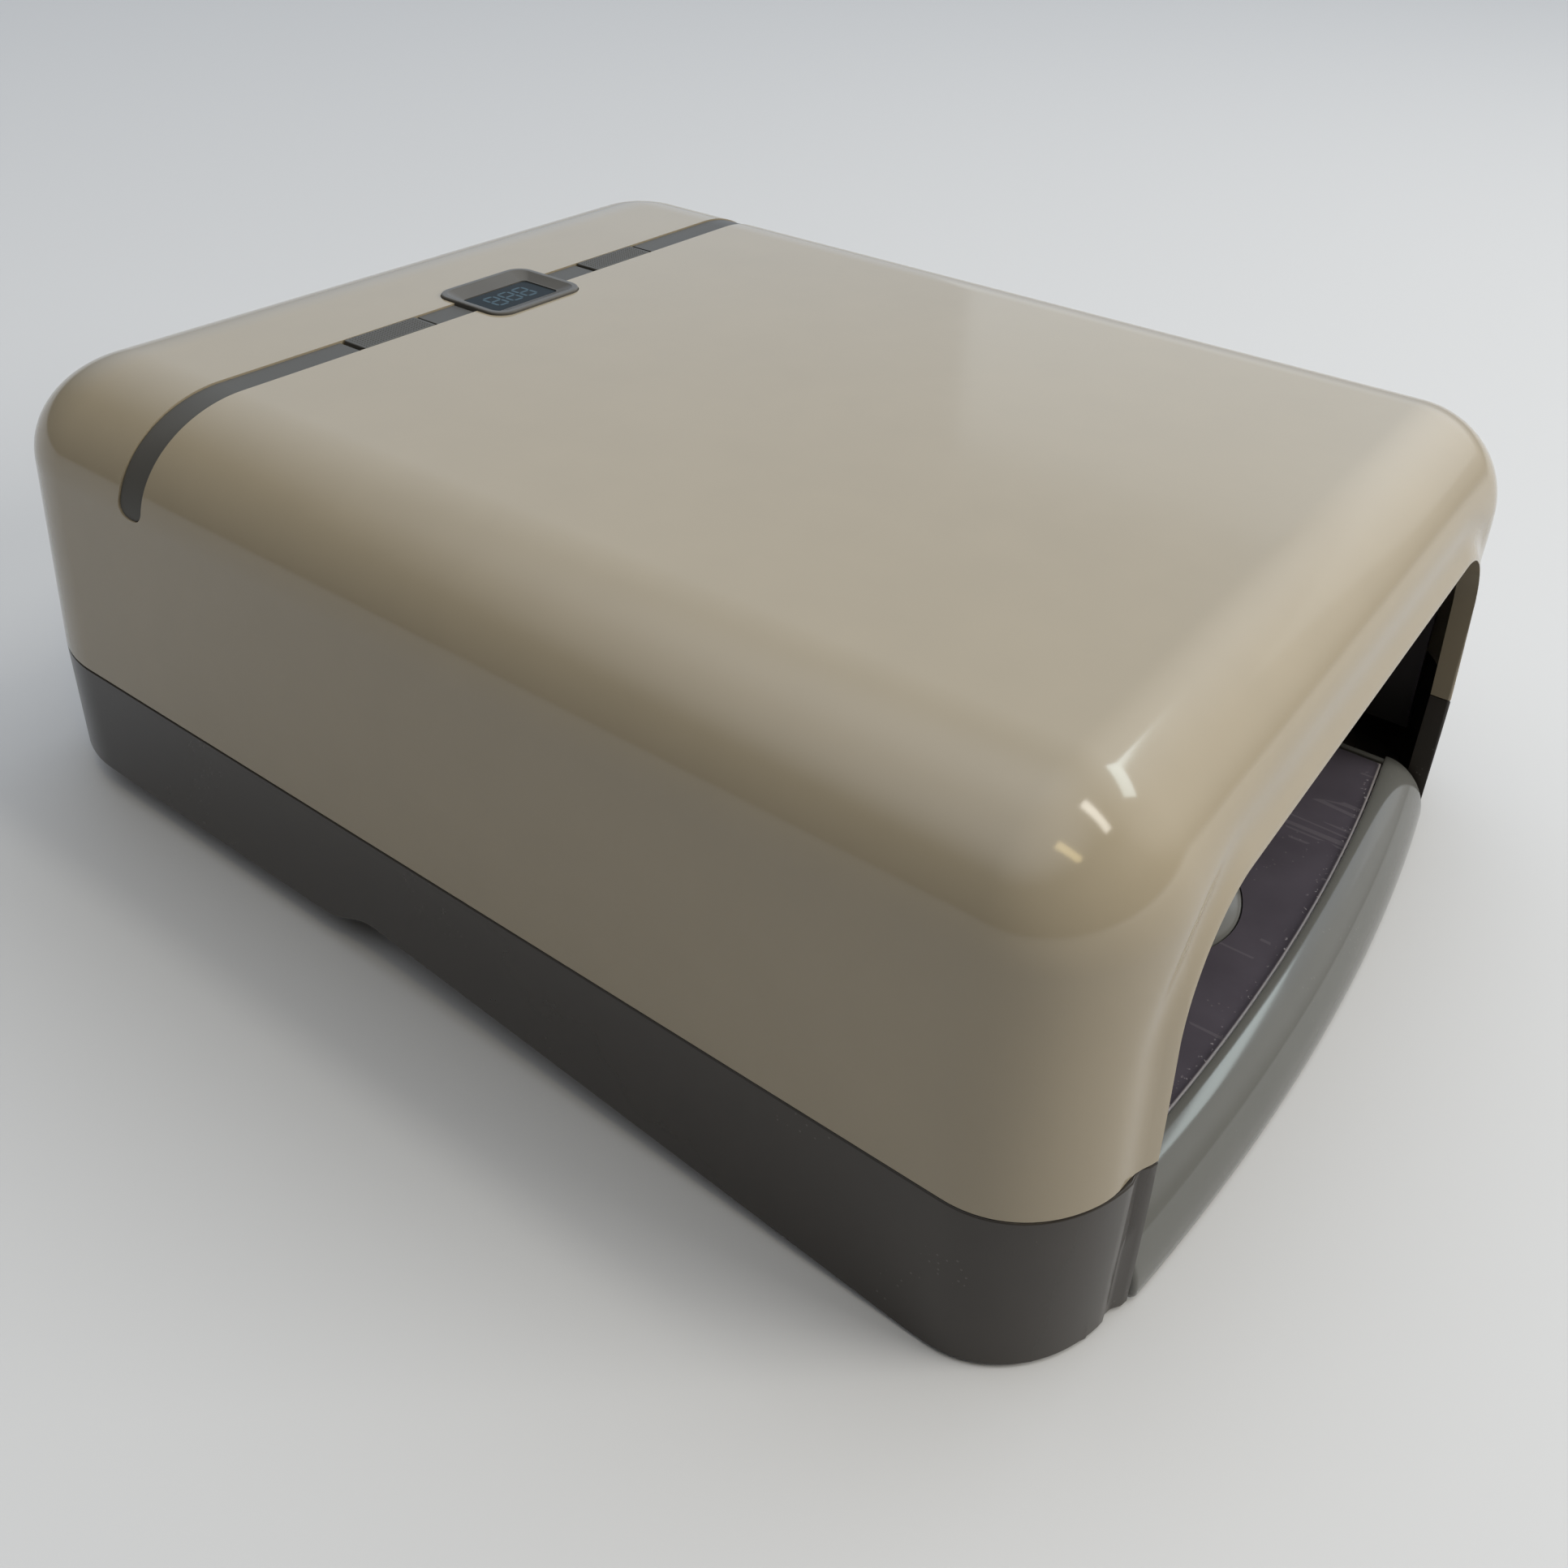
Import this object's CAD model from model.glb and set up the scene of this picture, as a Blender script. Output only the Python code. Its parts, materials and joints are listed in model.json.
"""UV curing lamp with a pull-out tray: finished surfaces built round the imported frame.

Metres, +Z up, the hand opening faces -Y. Every piece takes its place from the frame's boxes.
"""

import json
import logging
import math
from collections.abc import Sequence
from dataclasses import dataclass, field
from enum import Enum

import bmesh
import bpy
import numpy as np
from mathutils import Matrix, Vector


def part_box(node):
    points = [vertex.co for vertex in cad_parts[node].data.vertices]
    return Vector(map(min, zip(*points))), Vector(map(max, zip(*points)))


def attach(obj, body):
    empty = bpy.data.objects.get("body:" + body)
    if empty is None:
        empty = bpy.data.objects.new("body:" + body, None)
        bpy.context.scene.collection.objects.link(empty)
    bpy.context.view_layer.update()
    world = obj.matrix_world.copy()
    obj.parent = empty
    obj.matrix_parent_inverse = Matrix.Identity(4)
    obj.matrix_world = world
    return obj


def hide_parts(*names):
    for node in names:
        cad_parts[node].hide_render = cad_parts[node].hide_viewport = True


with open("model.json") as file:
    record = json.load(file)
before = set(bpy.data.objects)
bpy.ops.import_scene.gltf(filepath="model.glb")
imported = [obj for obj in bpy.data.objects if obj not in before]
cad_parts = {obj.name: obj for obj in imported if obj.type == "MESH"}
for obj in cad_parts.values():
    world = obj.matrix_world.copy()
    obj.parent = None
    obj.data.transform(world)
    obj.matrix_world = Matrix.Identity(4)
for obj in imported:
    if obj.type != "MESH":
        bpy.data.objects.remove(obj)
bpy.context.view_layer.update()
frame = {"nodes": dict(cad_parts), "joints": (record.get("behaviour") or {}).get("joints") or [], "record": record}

LOG = logging.getLogger("uv_lamp")
MM = 0.001
GAP = 0.3 * MM
Triple = tuple[float, float, float]
Tint = tuple[float, float, float, float]
Pair = tuple[float, float]
Feed = bpy.types.NodeSocket | float | Sequence[float]
Loop = np.ndarray


class Plane(Enum):
    """The plane that a flat outline lies in; its third axis carries the outline."""

    XY = "xy"
    XZ = "xz"
    YZ = "yz"


# ---------------------------------------------------------------------------- mesh tools


def quarter(steps: int) -> list[float]:
    """Angles in even steps from nought to a right angle."""
    return [i / steps * math.pi / 2 for i in range(steps + 1)]


def new_piece(name: str, vertices: np.ndarray, faces: Sequence[Sequence[int]]) -> bpy.types.Object:
    """Makes a mesh object with merged points and faces turned outwards.

    Args:
        name: The object's name.
        vertices: Points in metres, one row each.
        faces: Point numbers round each face.

    Returns:
        The linked object, at the origin.
    """
    mesh = bpy.data.meshes.new(name)
    mesh.from_pydata([tuple(v) for v in vertices], [], [tuple(f) for f in faces])
    edit = bmesh.new()
    edit.from_mesh(mesh)
    bmesh.ops.remove_doubles(edit, verts=edit.verts, dist=1e-7)
    bmesh.ops.dissolve_degenerate(edit, edges=edit.edges, dist=1e-7)
    bmesh.ops.recalc_face_normals(edit, faces=edit.faces)
    edit.to_mesh(mesh)
    edit.free()
    piece = bpy.data.objects.new(name, mesh)
    bpy.context.scene.collection.objects.link(piece)
    return piece


def loft(name: str, loops: Sequence[Loop], ring: bool = False) -> bpy.types.Object:
    """Skins a list of loops that all have the same number of points.

    Args:
        name: The object's name.
        loops: Loops of 3-D points, in order along the body.
        ring: True joins the last loop to the first; False caps both ends.

    Returns:
        The closed object.
    """
    count = len(loops[0])
    faces = []
    for k in range(len(loops) if ring else len(loops) - 1):
        low = k * count
        high = ((k + 1) % len(loops)) * count
        for i in range(count):
            j = (i + 1) % count
            faces.append((low + i, low + j, high + j, high + i))
    if not ring:
        last = (len(loops) - 1) * count
        faces.append(tuple(reversed(range(count))))
        faces.append(tuple(range(last, last + count)))
    return new_piece(name, np.vstack(loops), faces)


def lay(outline: np.ndarray, plane: Plane, level: float) -> Loop:
    """Stands a flat outline in space.

    Args:
        outline: Two columns, along the plane's own axes.
        plane: Where it lies.
        level: Its place on the third axis.

    Returns:
        The outline as 3-D points.
    """
    u, v = outline[:, 0], outline[:, 1]
    flat = np.full(len(outline), level)
    columns = {Plane.XY: (u, v, flat), Plane.XZ: (u, flat, v), Plane.YZ: (flat, u, v)}
    return np.column_stack(columns[plane])


def rounded(width: float, height: float, radius: float, centre: Pair, steps: int = 8) -> np.ndarray:
    """Outline of a rectangle with round corners.

    Args:
        width: Size along the first axis.
        height: Size along the second axis.
        radius: Corner radius, held within the rectangle.
        centre: Middle of the rectangle.
        steps: Segments in each corner.

    Returns:
        Points, anticlockwise.
    """
    radius = max(min(radius, width / 2, height / 2), 1e-6)
    points = []
    for corner in range(4):
        sx = 1 if corner in (0, 3) else -1
        sy = 1 if corner in (0, 1) else -1
        for i in range(steps + 1):
            angle = (corner + i / steps) * math.pi / 2
            points.append((
                centre[0] + sx * (width / 2 - radius) + radius * math.cos(angle),
                centre[1] + sy * (height / 2 - radius) + radius * math.sin(angle),
            ))
    return np.array(points)


def pad(
    name: str,
    plane: Plane,
    size: Pair,
    centre: Pair,
    span: Pair,
    radius: float,
    edge: float,
    steps: int = 8,
) -> bpy.types.Object:
    """A rounded block with a small round on the edges of both faces.

    Args:
        name: The object's name.
        plane: The plane of its outline.
        size: Width and height of the outline.
        centre: Middle of the outline.
        span: Where it starts and ends on the third axis.
        radius: Corner radius of the outline.
        edge: Radius of the rounded face edges.
        steps: Segments in each corner.

    Returns:
        The closed object.
    """
    loops = []
    low = [(edge * (1 - math.sin(a)), span[0] + edge * (1 - math.cos(a))) for a in quarter(4)]
    high = [(inset, span[1] - (level - span[0])) for inset, level in reversed(low)]
    for inset, level in low + high:
        outline = rounded(size[0] - 2 * inset, size[1] - 2 * inset, radius - inset, centre, steps)
        loops.append(lay(outline, plane, level))
    return loft(name, loops)


def turned(
    name: str,
    profile: Sequence[Pair],
    place: Vector,
    along: Plane = Plane.XY,
    sides: int = 32,
) -> bpy.types.Object:
    """A turned body.

    Args:
        name: The object's name.
        profile: (radius, height) pairs from one end to the other.
        place: Where the axis starts.
        along: The plane the circles lie in.
        sides: Segments round the body.

    Returns:
        The closed object.
    """
    turn = np.linspace(0, 2 * math.pi, sides, endpoint=False)
    ring = np.column_stack([np.cos(turn), np.sin(turn)])
    loops = [lay(ring * max(radius, 1e-6), along, height) + np.array(place) for radius, height in profile]
    return loft(name, loops)


def settle(piece: bpy.types.Object) -> bpy.types.Object:
    """Turns an object's modifiers into plain mesh.

    Args:
        piece: The object with live modifiers.

    Returns:
        The same object with none.
    """
    bpy.context.view_layer.update()
    evaluated = piece.evaluated_get(bpy.context.evaluated_depsgraph_get())
    mesh = bpy.data.meshes.new_from_object(evaluated)
    piece.modifiers.clear()
    piece.data = mesh
    return piece


def combine(
    body: bpy.types.Object,
    tools: Sequence[bpy.types.Object],
    join: bool = False,
) -> bpy.types.Object:
    """Cuts tools out of a body, or joins them to it, and removes the tools.

    Args:
        body: The object that stays.
        tools: Closed objects.
        join: True joins, False cuts.

    Returns:
        The body.
    """
    for tool in tools:
        modifier = body.modifiers.new("combine", "BOOLEAN")
        modifier.operation = "UNION" if join else "DIFFERENCE"
        modifier.solver = "EXACT"
        modifier.object = tool
    settle(body)
    for tool in tools:
        bpy.data.objects.remove(tool)
    return body


def merge(body: bpy.types.Object, others: Sequence[bpy.types.Object]) -> bpy.types.Object:
    """Puts the meshes of other objects into a body's mesh and removes them.

    Args:
        body: The object that stays.
        others: The objects whose meshes it takes.

    Returns:
        The body.
    """
    edit = bmesh.new()
    edit.from_mesh(body.data)
    for other in others:
        edit.from_mesh(other.data)
        bpy.data.objects.remove(other)
    edit.to_mesh(body.data)
    edit.free()
    return body


def dress(
    piece: bpy.types.Object,
    body: str,
    nodes: Sequence[str],
    material: bpy.types.Material,
    crease: float = 32.0,
) -> bpy.types.Object:
    """Shades a finished piece, gives it its material and ties it to the frame.

    Args:
        piece: The finished mesh.
        body: The frame body it moves with.
        nodes: The frame nodes that it stands for.
        material: Its finish.
        crease: Edges sharper than this, in degrees, stay sharp.

    Returns:
        The piece.
    """
    piece.data.shade_smooth()
    piece.data.set_sharp_from_angle(angle=math.radians(crease))
    weighted = piece.modifiers.new("weighted", "WEIGHTED_NORMAL")
    weighted.keep_sharp = True
    weighted.weight = 60
    settle(piece)
    piece.data.materials.clear()
    piece.data.materials.append(material)
    for polygon in piece.data.polygons:
        polygon.material_index = 0
    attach(piece, body)
    if nodes:
        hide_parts(*nodes)
    LOG.info("%s: %d faces on %s", piece.name, len(piece.data.polygons), body)
    return piece


# ---------------------------------------------------------------------------- geometry nodes


@dataclass
class Recipe:
    """A geometry node tree with named inputs, run once on an object and turned into mesh."""

    name: str
    tree: bpy.types.NodeTree = field(init=False)

    def __post_init__(self) -> None:
        """Starts the tree with a geometry input and output."""
        self.tree = bpy.data.node_groups.new(self.name, "GeometryNodeTree")
        self.tree.interface.new_socket(name="Geometry", in_out="INPUT", socket_type="NodeSocketGeometry")
        self.tree.interface.new_socket(name="Geometry", in_out="OUTPUT", socket_type="NodeSocketGeometry")
        self.start = self.tree.nodes.new("NodeGroupInput")
        self.end = self.tree.nodes.new("NodeGroupOutput")

    def value(self, name: str, kind: str = "NodeSocketFloat") -> bpy.types.NodeSocket:
        """Adds a named input.

        Args:
            name: The input's name.
            kind: Its socket type.

        Returns:
            The socket inside the tree.
        """
        self.tree.interface.new_socket(name=name, in_out="INPUT", socket_type=kind)
        return self.start.outputs[name]

    def node(self, kind: str, links: dict[str, bpy.types.NodeSocket], **settings: object) -> bpy.types.Node:
        """Adds a node.

        Args:
            kind: The node's type.
            links: Input name to the socket that feeds it.
            settings: Node properties, or plain input values by name with spaces as underscores.

        Returns:
            The node.
        """
        made = self.tree.nodes.new(kind)
        for key, setting in settings.items():
            label = key.replace("_", " ")
            if label in made.inputs:
                made.inputs[label].default_value = setting
            else:
                setattr(made, key, setting)
        for label, source in links.items():
            self.tree.links.new(source, made.inputs[label])
        return made

    def close(self, geometry: bpy.types.NodeSocket, material: bpy.types.Material) -> None:
        """Ends the tree in real geometry with its material.

        Args:
            geometry: What the tree has made.
            material: The finish it gets.
        """
        real = self.node("GeometryNodeRealizeInstances", {"Geometry": geometry})
        finish = self.node("GeometryNodeSetMaterial", {"Geometry": real.outputs["Geometry"]})
        finish.inputs["Material"].default_value = material
        self.tree.links.new(finish.outputs["Geometry"], self.end.inputs["Geometry"])

    def run(self, seed: bpy.types.Object, values: dict[str, object]) -> bpy.types.Object:
        """Runs the tree on an object.

        Args:
            seed: The object that carries the starting geometry.
            values: Input name to value.

        Returns:
            The same object as plain mesh.
        """
        modifier = seed.modifiers.new(self.name, "NODES")
        modifier.node_group = self.tree
        for item in self.tree.interface.items_tree:
            if item.in_out == "INPUT" and item.name in values:
                modifier[item.identifier] = values[item.name]
        return settle(seed)


def seed_points(name: str, points: Sequence[Sequence[float]], chain: bool = False) -> bpy.types.Object:
    """An object of loose points, or of points joined in a line.

    Args:
        name: The object's name.
        points: The places.
        chain: True joins each point to the next.

    Returns:
        The object.
    """
    mesh = bpy.data.meshes.new(name)
    edges = [(i, i + 1) for i in range(len(points) - 1)] if chain else []
    mesh.from_pydata([tuple(p) for p in points], edges, [])
    seed = bpy.data.objects.new(name, mesh)
    bpy.context.scene.collection.objects.link(seed)
    return seed


def scatter_recipe(name: str, stamp: bpy.types.Object, material: bpy.types.Material) -> Recipe:
    """A tree that puts a copy of one shape on every point.

    Args:
        name: The tree's name.
        stamp: The shape.
        material: The finish of the copies.

    Returns:
        The recipe, with the input Scale.
    """
    recipe = Recipe(name)
    scale = recipe.value("Scale")
    shape = recipe.node("GeometryNodeObjectInfo", {})
    shape.inputs["Object"].default_value = stamp
    copies = recipe.node("GeometryNodeInstanceOnPoints", {
        "Points": recipe.start.outputs["Geometry"],
        "Instance": shape.outputs["Geometry"],
        "Scale": scale,
    })
    recipe.close(copies.outputs["Instances"], material)
    return recipe


def tube_recipe(name: str, material: bpy.types.Material, sides: int) -> Recipe:
    """A tree that makes a capped round tube along a line.

    Args:
        name: The tree's name.
        material: The finish.
        sides: Segments round the tube.

    Returns:
        The recipe, with the input Radius.
    """
    recipe = Recipe(name)
    radius = recipe.value("Radius")
    path = recipe.node("GeometryNodeMeshToCurve", {"Mesh": recipe.start.outputs["Geometry"]})
    ring = recipe.node("GeometryNodeCurvePrimitiveCircle", {"Radius": radius}, Resolution=sides)
    wall = recipe.node("GeometryNodeCurveToMesh", {
        "Curve": path.outputs["Curve"],
        "Profile Curve": ring.outputs["Curve"],
    }, Fill_Caps=True)
    recipe.close(wall.outputs["Mesh"], material)
    return recipe


def slot_recipe(name: str, material: bpy.types.Material) -> Recipe:
    """A tree that makes a row of round-ended slot cutters along X, each running along Y.

    Args:
        name: The tree's name.
        material: Any finish, since the row only cuts.

    Returns:
        The recipe, with the inputs Count, Pitch, Width, Height and Depth.
    """
    corner_share = 0.49
    corner_steps = 6
    recipe = Recipe(name)
    count = recipe.value("Count", "NodeSocketInt")
    pitch, width, height, depth = (recipe.value(n) for n in ("Pitch", "Width", "Height", "Depth"))
    reach = recipe.node("ShaderNodeCombineXYZ", {"Y": depth})
    spine = recipe.node("GeometryNodeCurvePrimitiveLine", {"End": reach.outputs["Vector"]})
    outline = recipe.node("GeometryNodeCurvePrimitiveQuadrilateral", {"Width": width, "Height": height})
    corner = recipe.node("ShaderNodeMath", {}, operation="MULTIPLY")
    recipe.tree.links.new(width, corner.inputs[0])
    corner.inputs[1].default_value = corner_share
    soft = recipe.node("GeometryNodeFilletCurve", {
        "Curve": outline.outputs["Curve"],
        "Radius": corner.outputs["Value"],
    }, mode="POLY")
    soft.inputs["Count"].default_value = corner_steps
    cutter = recipe.node("GeometryNodeCurveToMesh", {
        "Curve": spine.outputs["Curve"],
        "Profile Curve": soft.outputs["Curve"],
    }, Fill_Caps=True)
    step = recipe.node("ShaderNodeCombineXYZ", {"X": pitch})
    row = recipe.node("GeometryNodeMeshLine", {"Count": count, "Offset": step.outputs["Vector"]})
    copies = recipe.node("GeometryNodeInstanceOnPoints", {
        "Points": row.outputs["Mesh"],
        "Instance": cutter.outputs["Mesh"],
    })
    recipe.close(copies.outputs["Instances"], material)
    return recipe


# ---------------------------------------------------------------------------- shader effects


def shade(
    tree: bpy.types.NodeTree,
    kind: str,
    inputs: dict[str | int, Feed],
    **settings: object,
) -> bpy.types.Node:
    """Adds a shader node.

    Args:
        tree: The tree it joins.
        kind: The node's type, without its usual prefix.
        inputs: Input name or number to a value, or to the socket that feeds it.
        settings: Node properties, set before the inputs.

    Returns:
        The node.
    """
    made = tree.nodes.new(f"ShaderNode{kind}")
    for key, setting in settings.items():
        setattr(made, key, setting)
    for label, feed in inputs.items():
        if isinstance(feed, bpy.types.NodeSocket):
            tree.links.new(feed, made.inputs[label])
        else:
            made.inputs[label].default_value = feed
    return made


def sums(tree: bpy.types.NodeTree, operation: str, *feeds: Feed) -> bpy.types.NodeSocket:
    """Adds a math node with its inputs in order and gives its result."""
    return shade(tree, "Math", dict(enumerate(feeds)), operation=operation).outputs["Value"]


def smooth(tree: bpy.types.NodeTree, source: Feed, start: float, full: float) -> bpy.types.NodeSocket:
    """Adds a smooth step from nought to one.

    Args:
        tree: The tree it joins.
        source: What is measured.
        start: The source's value where the step starts.
        full: The source's value where it has reached one.

    Returns:
        The step's result.
    """
    span = {"Value": source, "From Min": start, "From Max": full}
    return shade(tree, "MapRange", span, interpolation_type="SMOOTHSTEP").outputs["Result"]


class Effects:
    """Shader node groups that more than one finish uses. Each is built once."""

    def __init__(self) -> None:
        """Builds the groups."""
        self.skin = self._moulded_skin()
        self.dust = self._dust()
        self.scratches = self._scratches()

    @staticmethod
    def _group(
        name: str,
        inputs: dict[str, float],
        outputs: Sequence[str],
    ) -> tuple[bpy.types.NodeTree, bpy.types.Node, bpy.types.Node]:
        """Starts a group with float inputs and outputs and a coordinate input.

        Args:
            name: The group's name.
            inputs: Input name to its usual value.
            outputs: Output names.

        Returns:
            The tree, its input node and its output node.
        """
        tree = bpy.data.node_groups.new(name, "ShaderNodeTree")
        tree.interface.new_socket(name="Vector", in_out="INPUT", socket_type="NodeSocketVector")
        for label, usual in inputs.items():
            socket = tree.interface.new_socket(name=label, in_out="INPUT", socket_type="NodeSocketFloat")
            socket.default_value = usual
        for label in outputs:
            tree.interface.new_socket(name=label, in_out="OUTPUT", socket_type="NodeSocketFloat")
        return tree, tree.nodes.new("NodeGroupInput"), tree.nodes.new("NodeGroupOutput")

    def _moulded_skin(self) -> bpy.types.NodeTree:
        """Slow waves with a fine orange peel, and patches for drift in colour and roughness.

        Returns:
            The group, with Height and Patch outputs.
        """
        peel_share = 0.06
        tree, start, end = self._group("moulded_skin", {"Wave": 18.0, "Peel": 900.0}, ["Height", "Patch"])
        feeds = start.outputs
        place = feeds["Vector"]
        wave, peel, patch = (
            shade(tree, "TexNoise", {"Vector": place, "Scale": size, "Detail": detail}).outputs["Fac"]
            for size, detail in ((feeds["Wave"], 1.0), (feeds["Peel"], 2.0), (60.0, 5.0))
        )
        tree.links.new(sums(tree, "MULTIPLY_ADD", peel, peel_share, wave), end.inputs["Height"])
        tree.links.new(patch, end.inputs["Patch"])
        return tree

    def _dust(self) -> bpy.types.NodeTree:
        """Sparse small specks.

        Returns:
            The group, with a Mask output.
        """
        tree, start, end = self._group("dust_specks", {"Scale": 700.0, "Size": 0.16}, ["Mask"])
        place = start.outputs["Vector"]
        cells = shade(tree, "TexVoronoi", {"Vector": place, "Scale": start.outputs["Scale"]})
        near = sums(tree, "LESS_THAN", cells.outputs["Distance"], start.outputs["Size"])
        thin = shade(tree, "TexNoise", {"Vector": place, "Scale": 45.0})
        rare = sums(tree, "GREATER_THAN", thin.outputs["Fac"], 0.62)
        tree.links.new(sums(tree, "MULTIPLY", near, rare), end.inputs["Mask"])
        return tree

    def _scratches(self) -> bpy.types.NodeTree:
        """Fine straight scratches in two directions.

        Returns:
            The group, with a Mask output.
        """
        tree, start, end = self._group("fine_scratches", {"Scale": 60.0, "Width": 0.012}, ["Mask"])
        place = start.outputs["Vector"]
        masks = []
        for turn in (0.5, -0.9):
            stretch = {"Vector": place, "Rotation": (0.0, 0.0, turn), "Scale": (1.0, 0.04, 1.0)}
            along = shade(tree, "Mapping", stretch).outputs["Vector"]
            grain = {"Vector": along, "Scale": start.outputs["Scale"], "Detail": 3.0}
            streak = shade(tree, "TexNoise", grain).outputs["Fac"]
            masks.append(sums(tree, "COMPARE", streak, 0.5, start.outputs["Width"]))
        either = sums(tree, "MAXIMUM", *masks)
        patch = shade(tree, "TexNoise", {"Vector": place, "Scale": 38.0})
        some = sums(tree, "GREATER_THAN", patch.outputs["Fac"], 0.56)
        tree.links.new(sums(tree, "MULTIPLY", either, some), end.inputs["Mask"])
        return tree


@dataclass(frozen=True)
class Finish:
    """One surface finish: a principled surface with moulded skin, colour drift and dust."""

    name: str
    colour: Triple
    roughness: float
    drift: float = 0.06
    rough_spread: float = 0.06
    wave: float = 14.0
    peel: float = 900.0
    bump: float = 0.04
    bump_depth: float = 0.0004
    dust: float = 0.25
    metallic: float = 0.0
    specular: float = 0.5
    coat: float = 0.0
    coat_roughness: float = 0.04
    dust_colour: Tint = (0.55, 0.53, 0.5, 1.0)

    def build(self, effects: Effects) -> bpy.types.Material:
        """Makes the material.

        Args:
            effects: The shared node groups.

        Returns:
            The material.
        """
        material = bpy.data.materials.new(self.name)
        material.use_nodes = True
        tree = material.node_tree
        surface = tree.nodes["Principled BSDF"].inputs
        surface["Metallic"].default_value = self.metallic
        surface["Specular IOR Level"].default_value = self.specular
        surface["Coat Weight"].default_value = self.coat
        surface["Coat Roughness"].default_value = self.coat_roughness
        place = tree.nodes.new("ShaderNodeTexCoord").outputs["Object"]
        moulding = {"Wave": self.wave, "Peel": self.peel, "Vector": place}
        skin = shade(tree, "Group", moulding, node_tree=effects.skin).outputs
        colour = self._ramp(tree, skin["Patch"])
        specks = shade(tree, "Group", {"Vector": place}, node_tree=effects.dust).outputs["Mask"]
        layers = {"Factor": sums(tree, "MULTIPLY", specks, self.dust), "A": colour, "B": self.dust_colour}
        dusty = shade(tree, "Mix", layers, data_type="RGBA")
        tree.links.new(dusty.outputs["Result"], surface["Base Color"])
        rough = shade(tree, "MapRange", {
            "Value": skin["Patch"],
            "From Min": 0.3,
            "From Max": 0.7,
            "To Min": self.roughness,
            "To Max": self.roughness + self.rough_spread,
        })
        tree.links.new(rough.outputs["Result"], surface["Roughness"])
        relief = {"Height": skin["Height"], "Strength": self.bump, "Distance": self.bump_depth}
        tree.links.new(shade(tree, "Bump", relief).outputs["Normal"], surface["Normal"])
        return material

    def _ramp(self, tree: bpy.types.NodeTree, patch: bpy.types.NodeSocket) -> bpy.types.NodeSocket:
        """A ramp that drifts the colour a little to either side.

        Args:
            tree: The material's tree.
            patch: What the drift follows.

        Returns:
            The drifting colour.
        """
        ramp = shade(tree, "ValToRGB", {"Fac": patch})
        low, high = ramp.color_ramp.elements
        low.position, high.position = 0.3, 0.7
        low.color = (*(c * (1 - self.drift) for c in self.colour), 1.0)
        high.color = (*(min(c * (1 + self.drift), 1.0) for c in self.colour), 1.0)
        return ramp.outputs["Color"]


@dataclass(frozen=True)
class InsertFinish(Finish):
    """The tray's dark plate: scratched, with a rubbed bright line along its bowed front edge."""

    front: float = 0.0
    bow: float = 1.0
    rub_width: float = 0.7 * MM
    worn_colour: Tint = (0.62, 0.58, 0.6, 1.0)

    def build(self, effects: Effects) -> bpy.types.Material:
        """Makes the material.

        Args:
            effects: The shared node groups.

        Returns:
            The material.
        """
        material = super().build(effects)
        tree = material.node_tree
        surface = tree.nodes["Principled BSDF"].inputs
        place = next(n for n in tree.nodes if n.type == "TEX_COORD").outputs["Object"]
        axes = shade(tree, "SeparateXYZ", {"Vector": place}).outputs
        square = sums(tree, "MULTIPLY", axes["X"], axes["X"])
        bowed = sums(tree, "DIVIDE", square, self.bow)
        edge = sums(tree, "ADD", bowed, self.front)
        depth = sums(tree, "SUBTRACT", axes["Y"], edge)
        marks = shade(tree, "Group", {"Vector": place}, node_tree=effects.scratches).outputs["Mask"]
        grain = shade(tree, "TexNoise", {"Vector": place, "Scale": 900.0, "Detail": 4.0}).outputs["Fac"]
        line = smooth(tree, depth, self.rub_width, 0.3 * self.rub_width)
        scuffed = smooth(tree, depth, 5.0 * self.rub_width, 0.5 * self.rub_width)
        speckle = smooth(tree, grain, 0.38, 0.3)
        patchy = sums(tree, "MULTIPLY", scuffed, speckle)
        soft = sums(tree, "MULTIPLY", patchy, 0.5)
        strong = sums(tree, "MULTIPLY", line, 0.9)
        rubbed = sums(tree, "MAXIMUM", soft, strong)
        faint = sums(tree, "MULTIPLY", marks, 0.05)
        both = sums(tree, "MAXIMUM", faint, rubbed)
        base = surface["Base Color"].links[0].from_socket
        worn = shade(tree, "Mix", {"Factor": both, "A": base, "B": self.worn_colour}, data_type="RGBA")
        tree.links.new(worn.outputs["Result"], surface["Base Color"])
        rough = surface["Roughness"].links[0].from_socket
        dull = sums(tree, "MULTIPLY", both, 0.45)
        tree.links.new(sums(tree, "ADD", rough, dull), surface["Roughness"])
        return material


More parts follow.
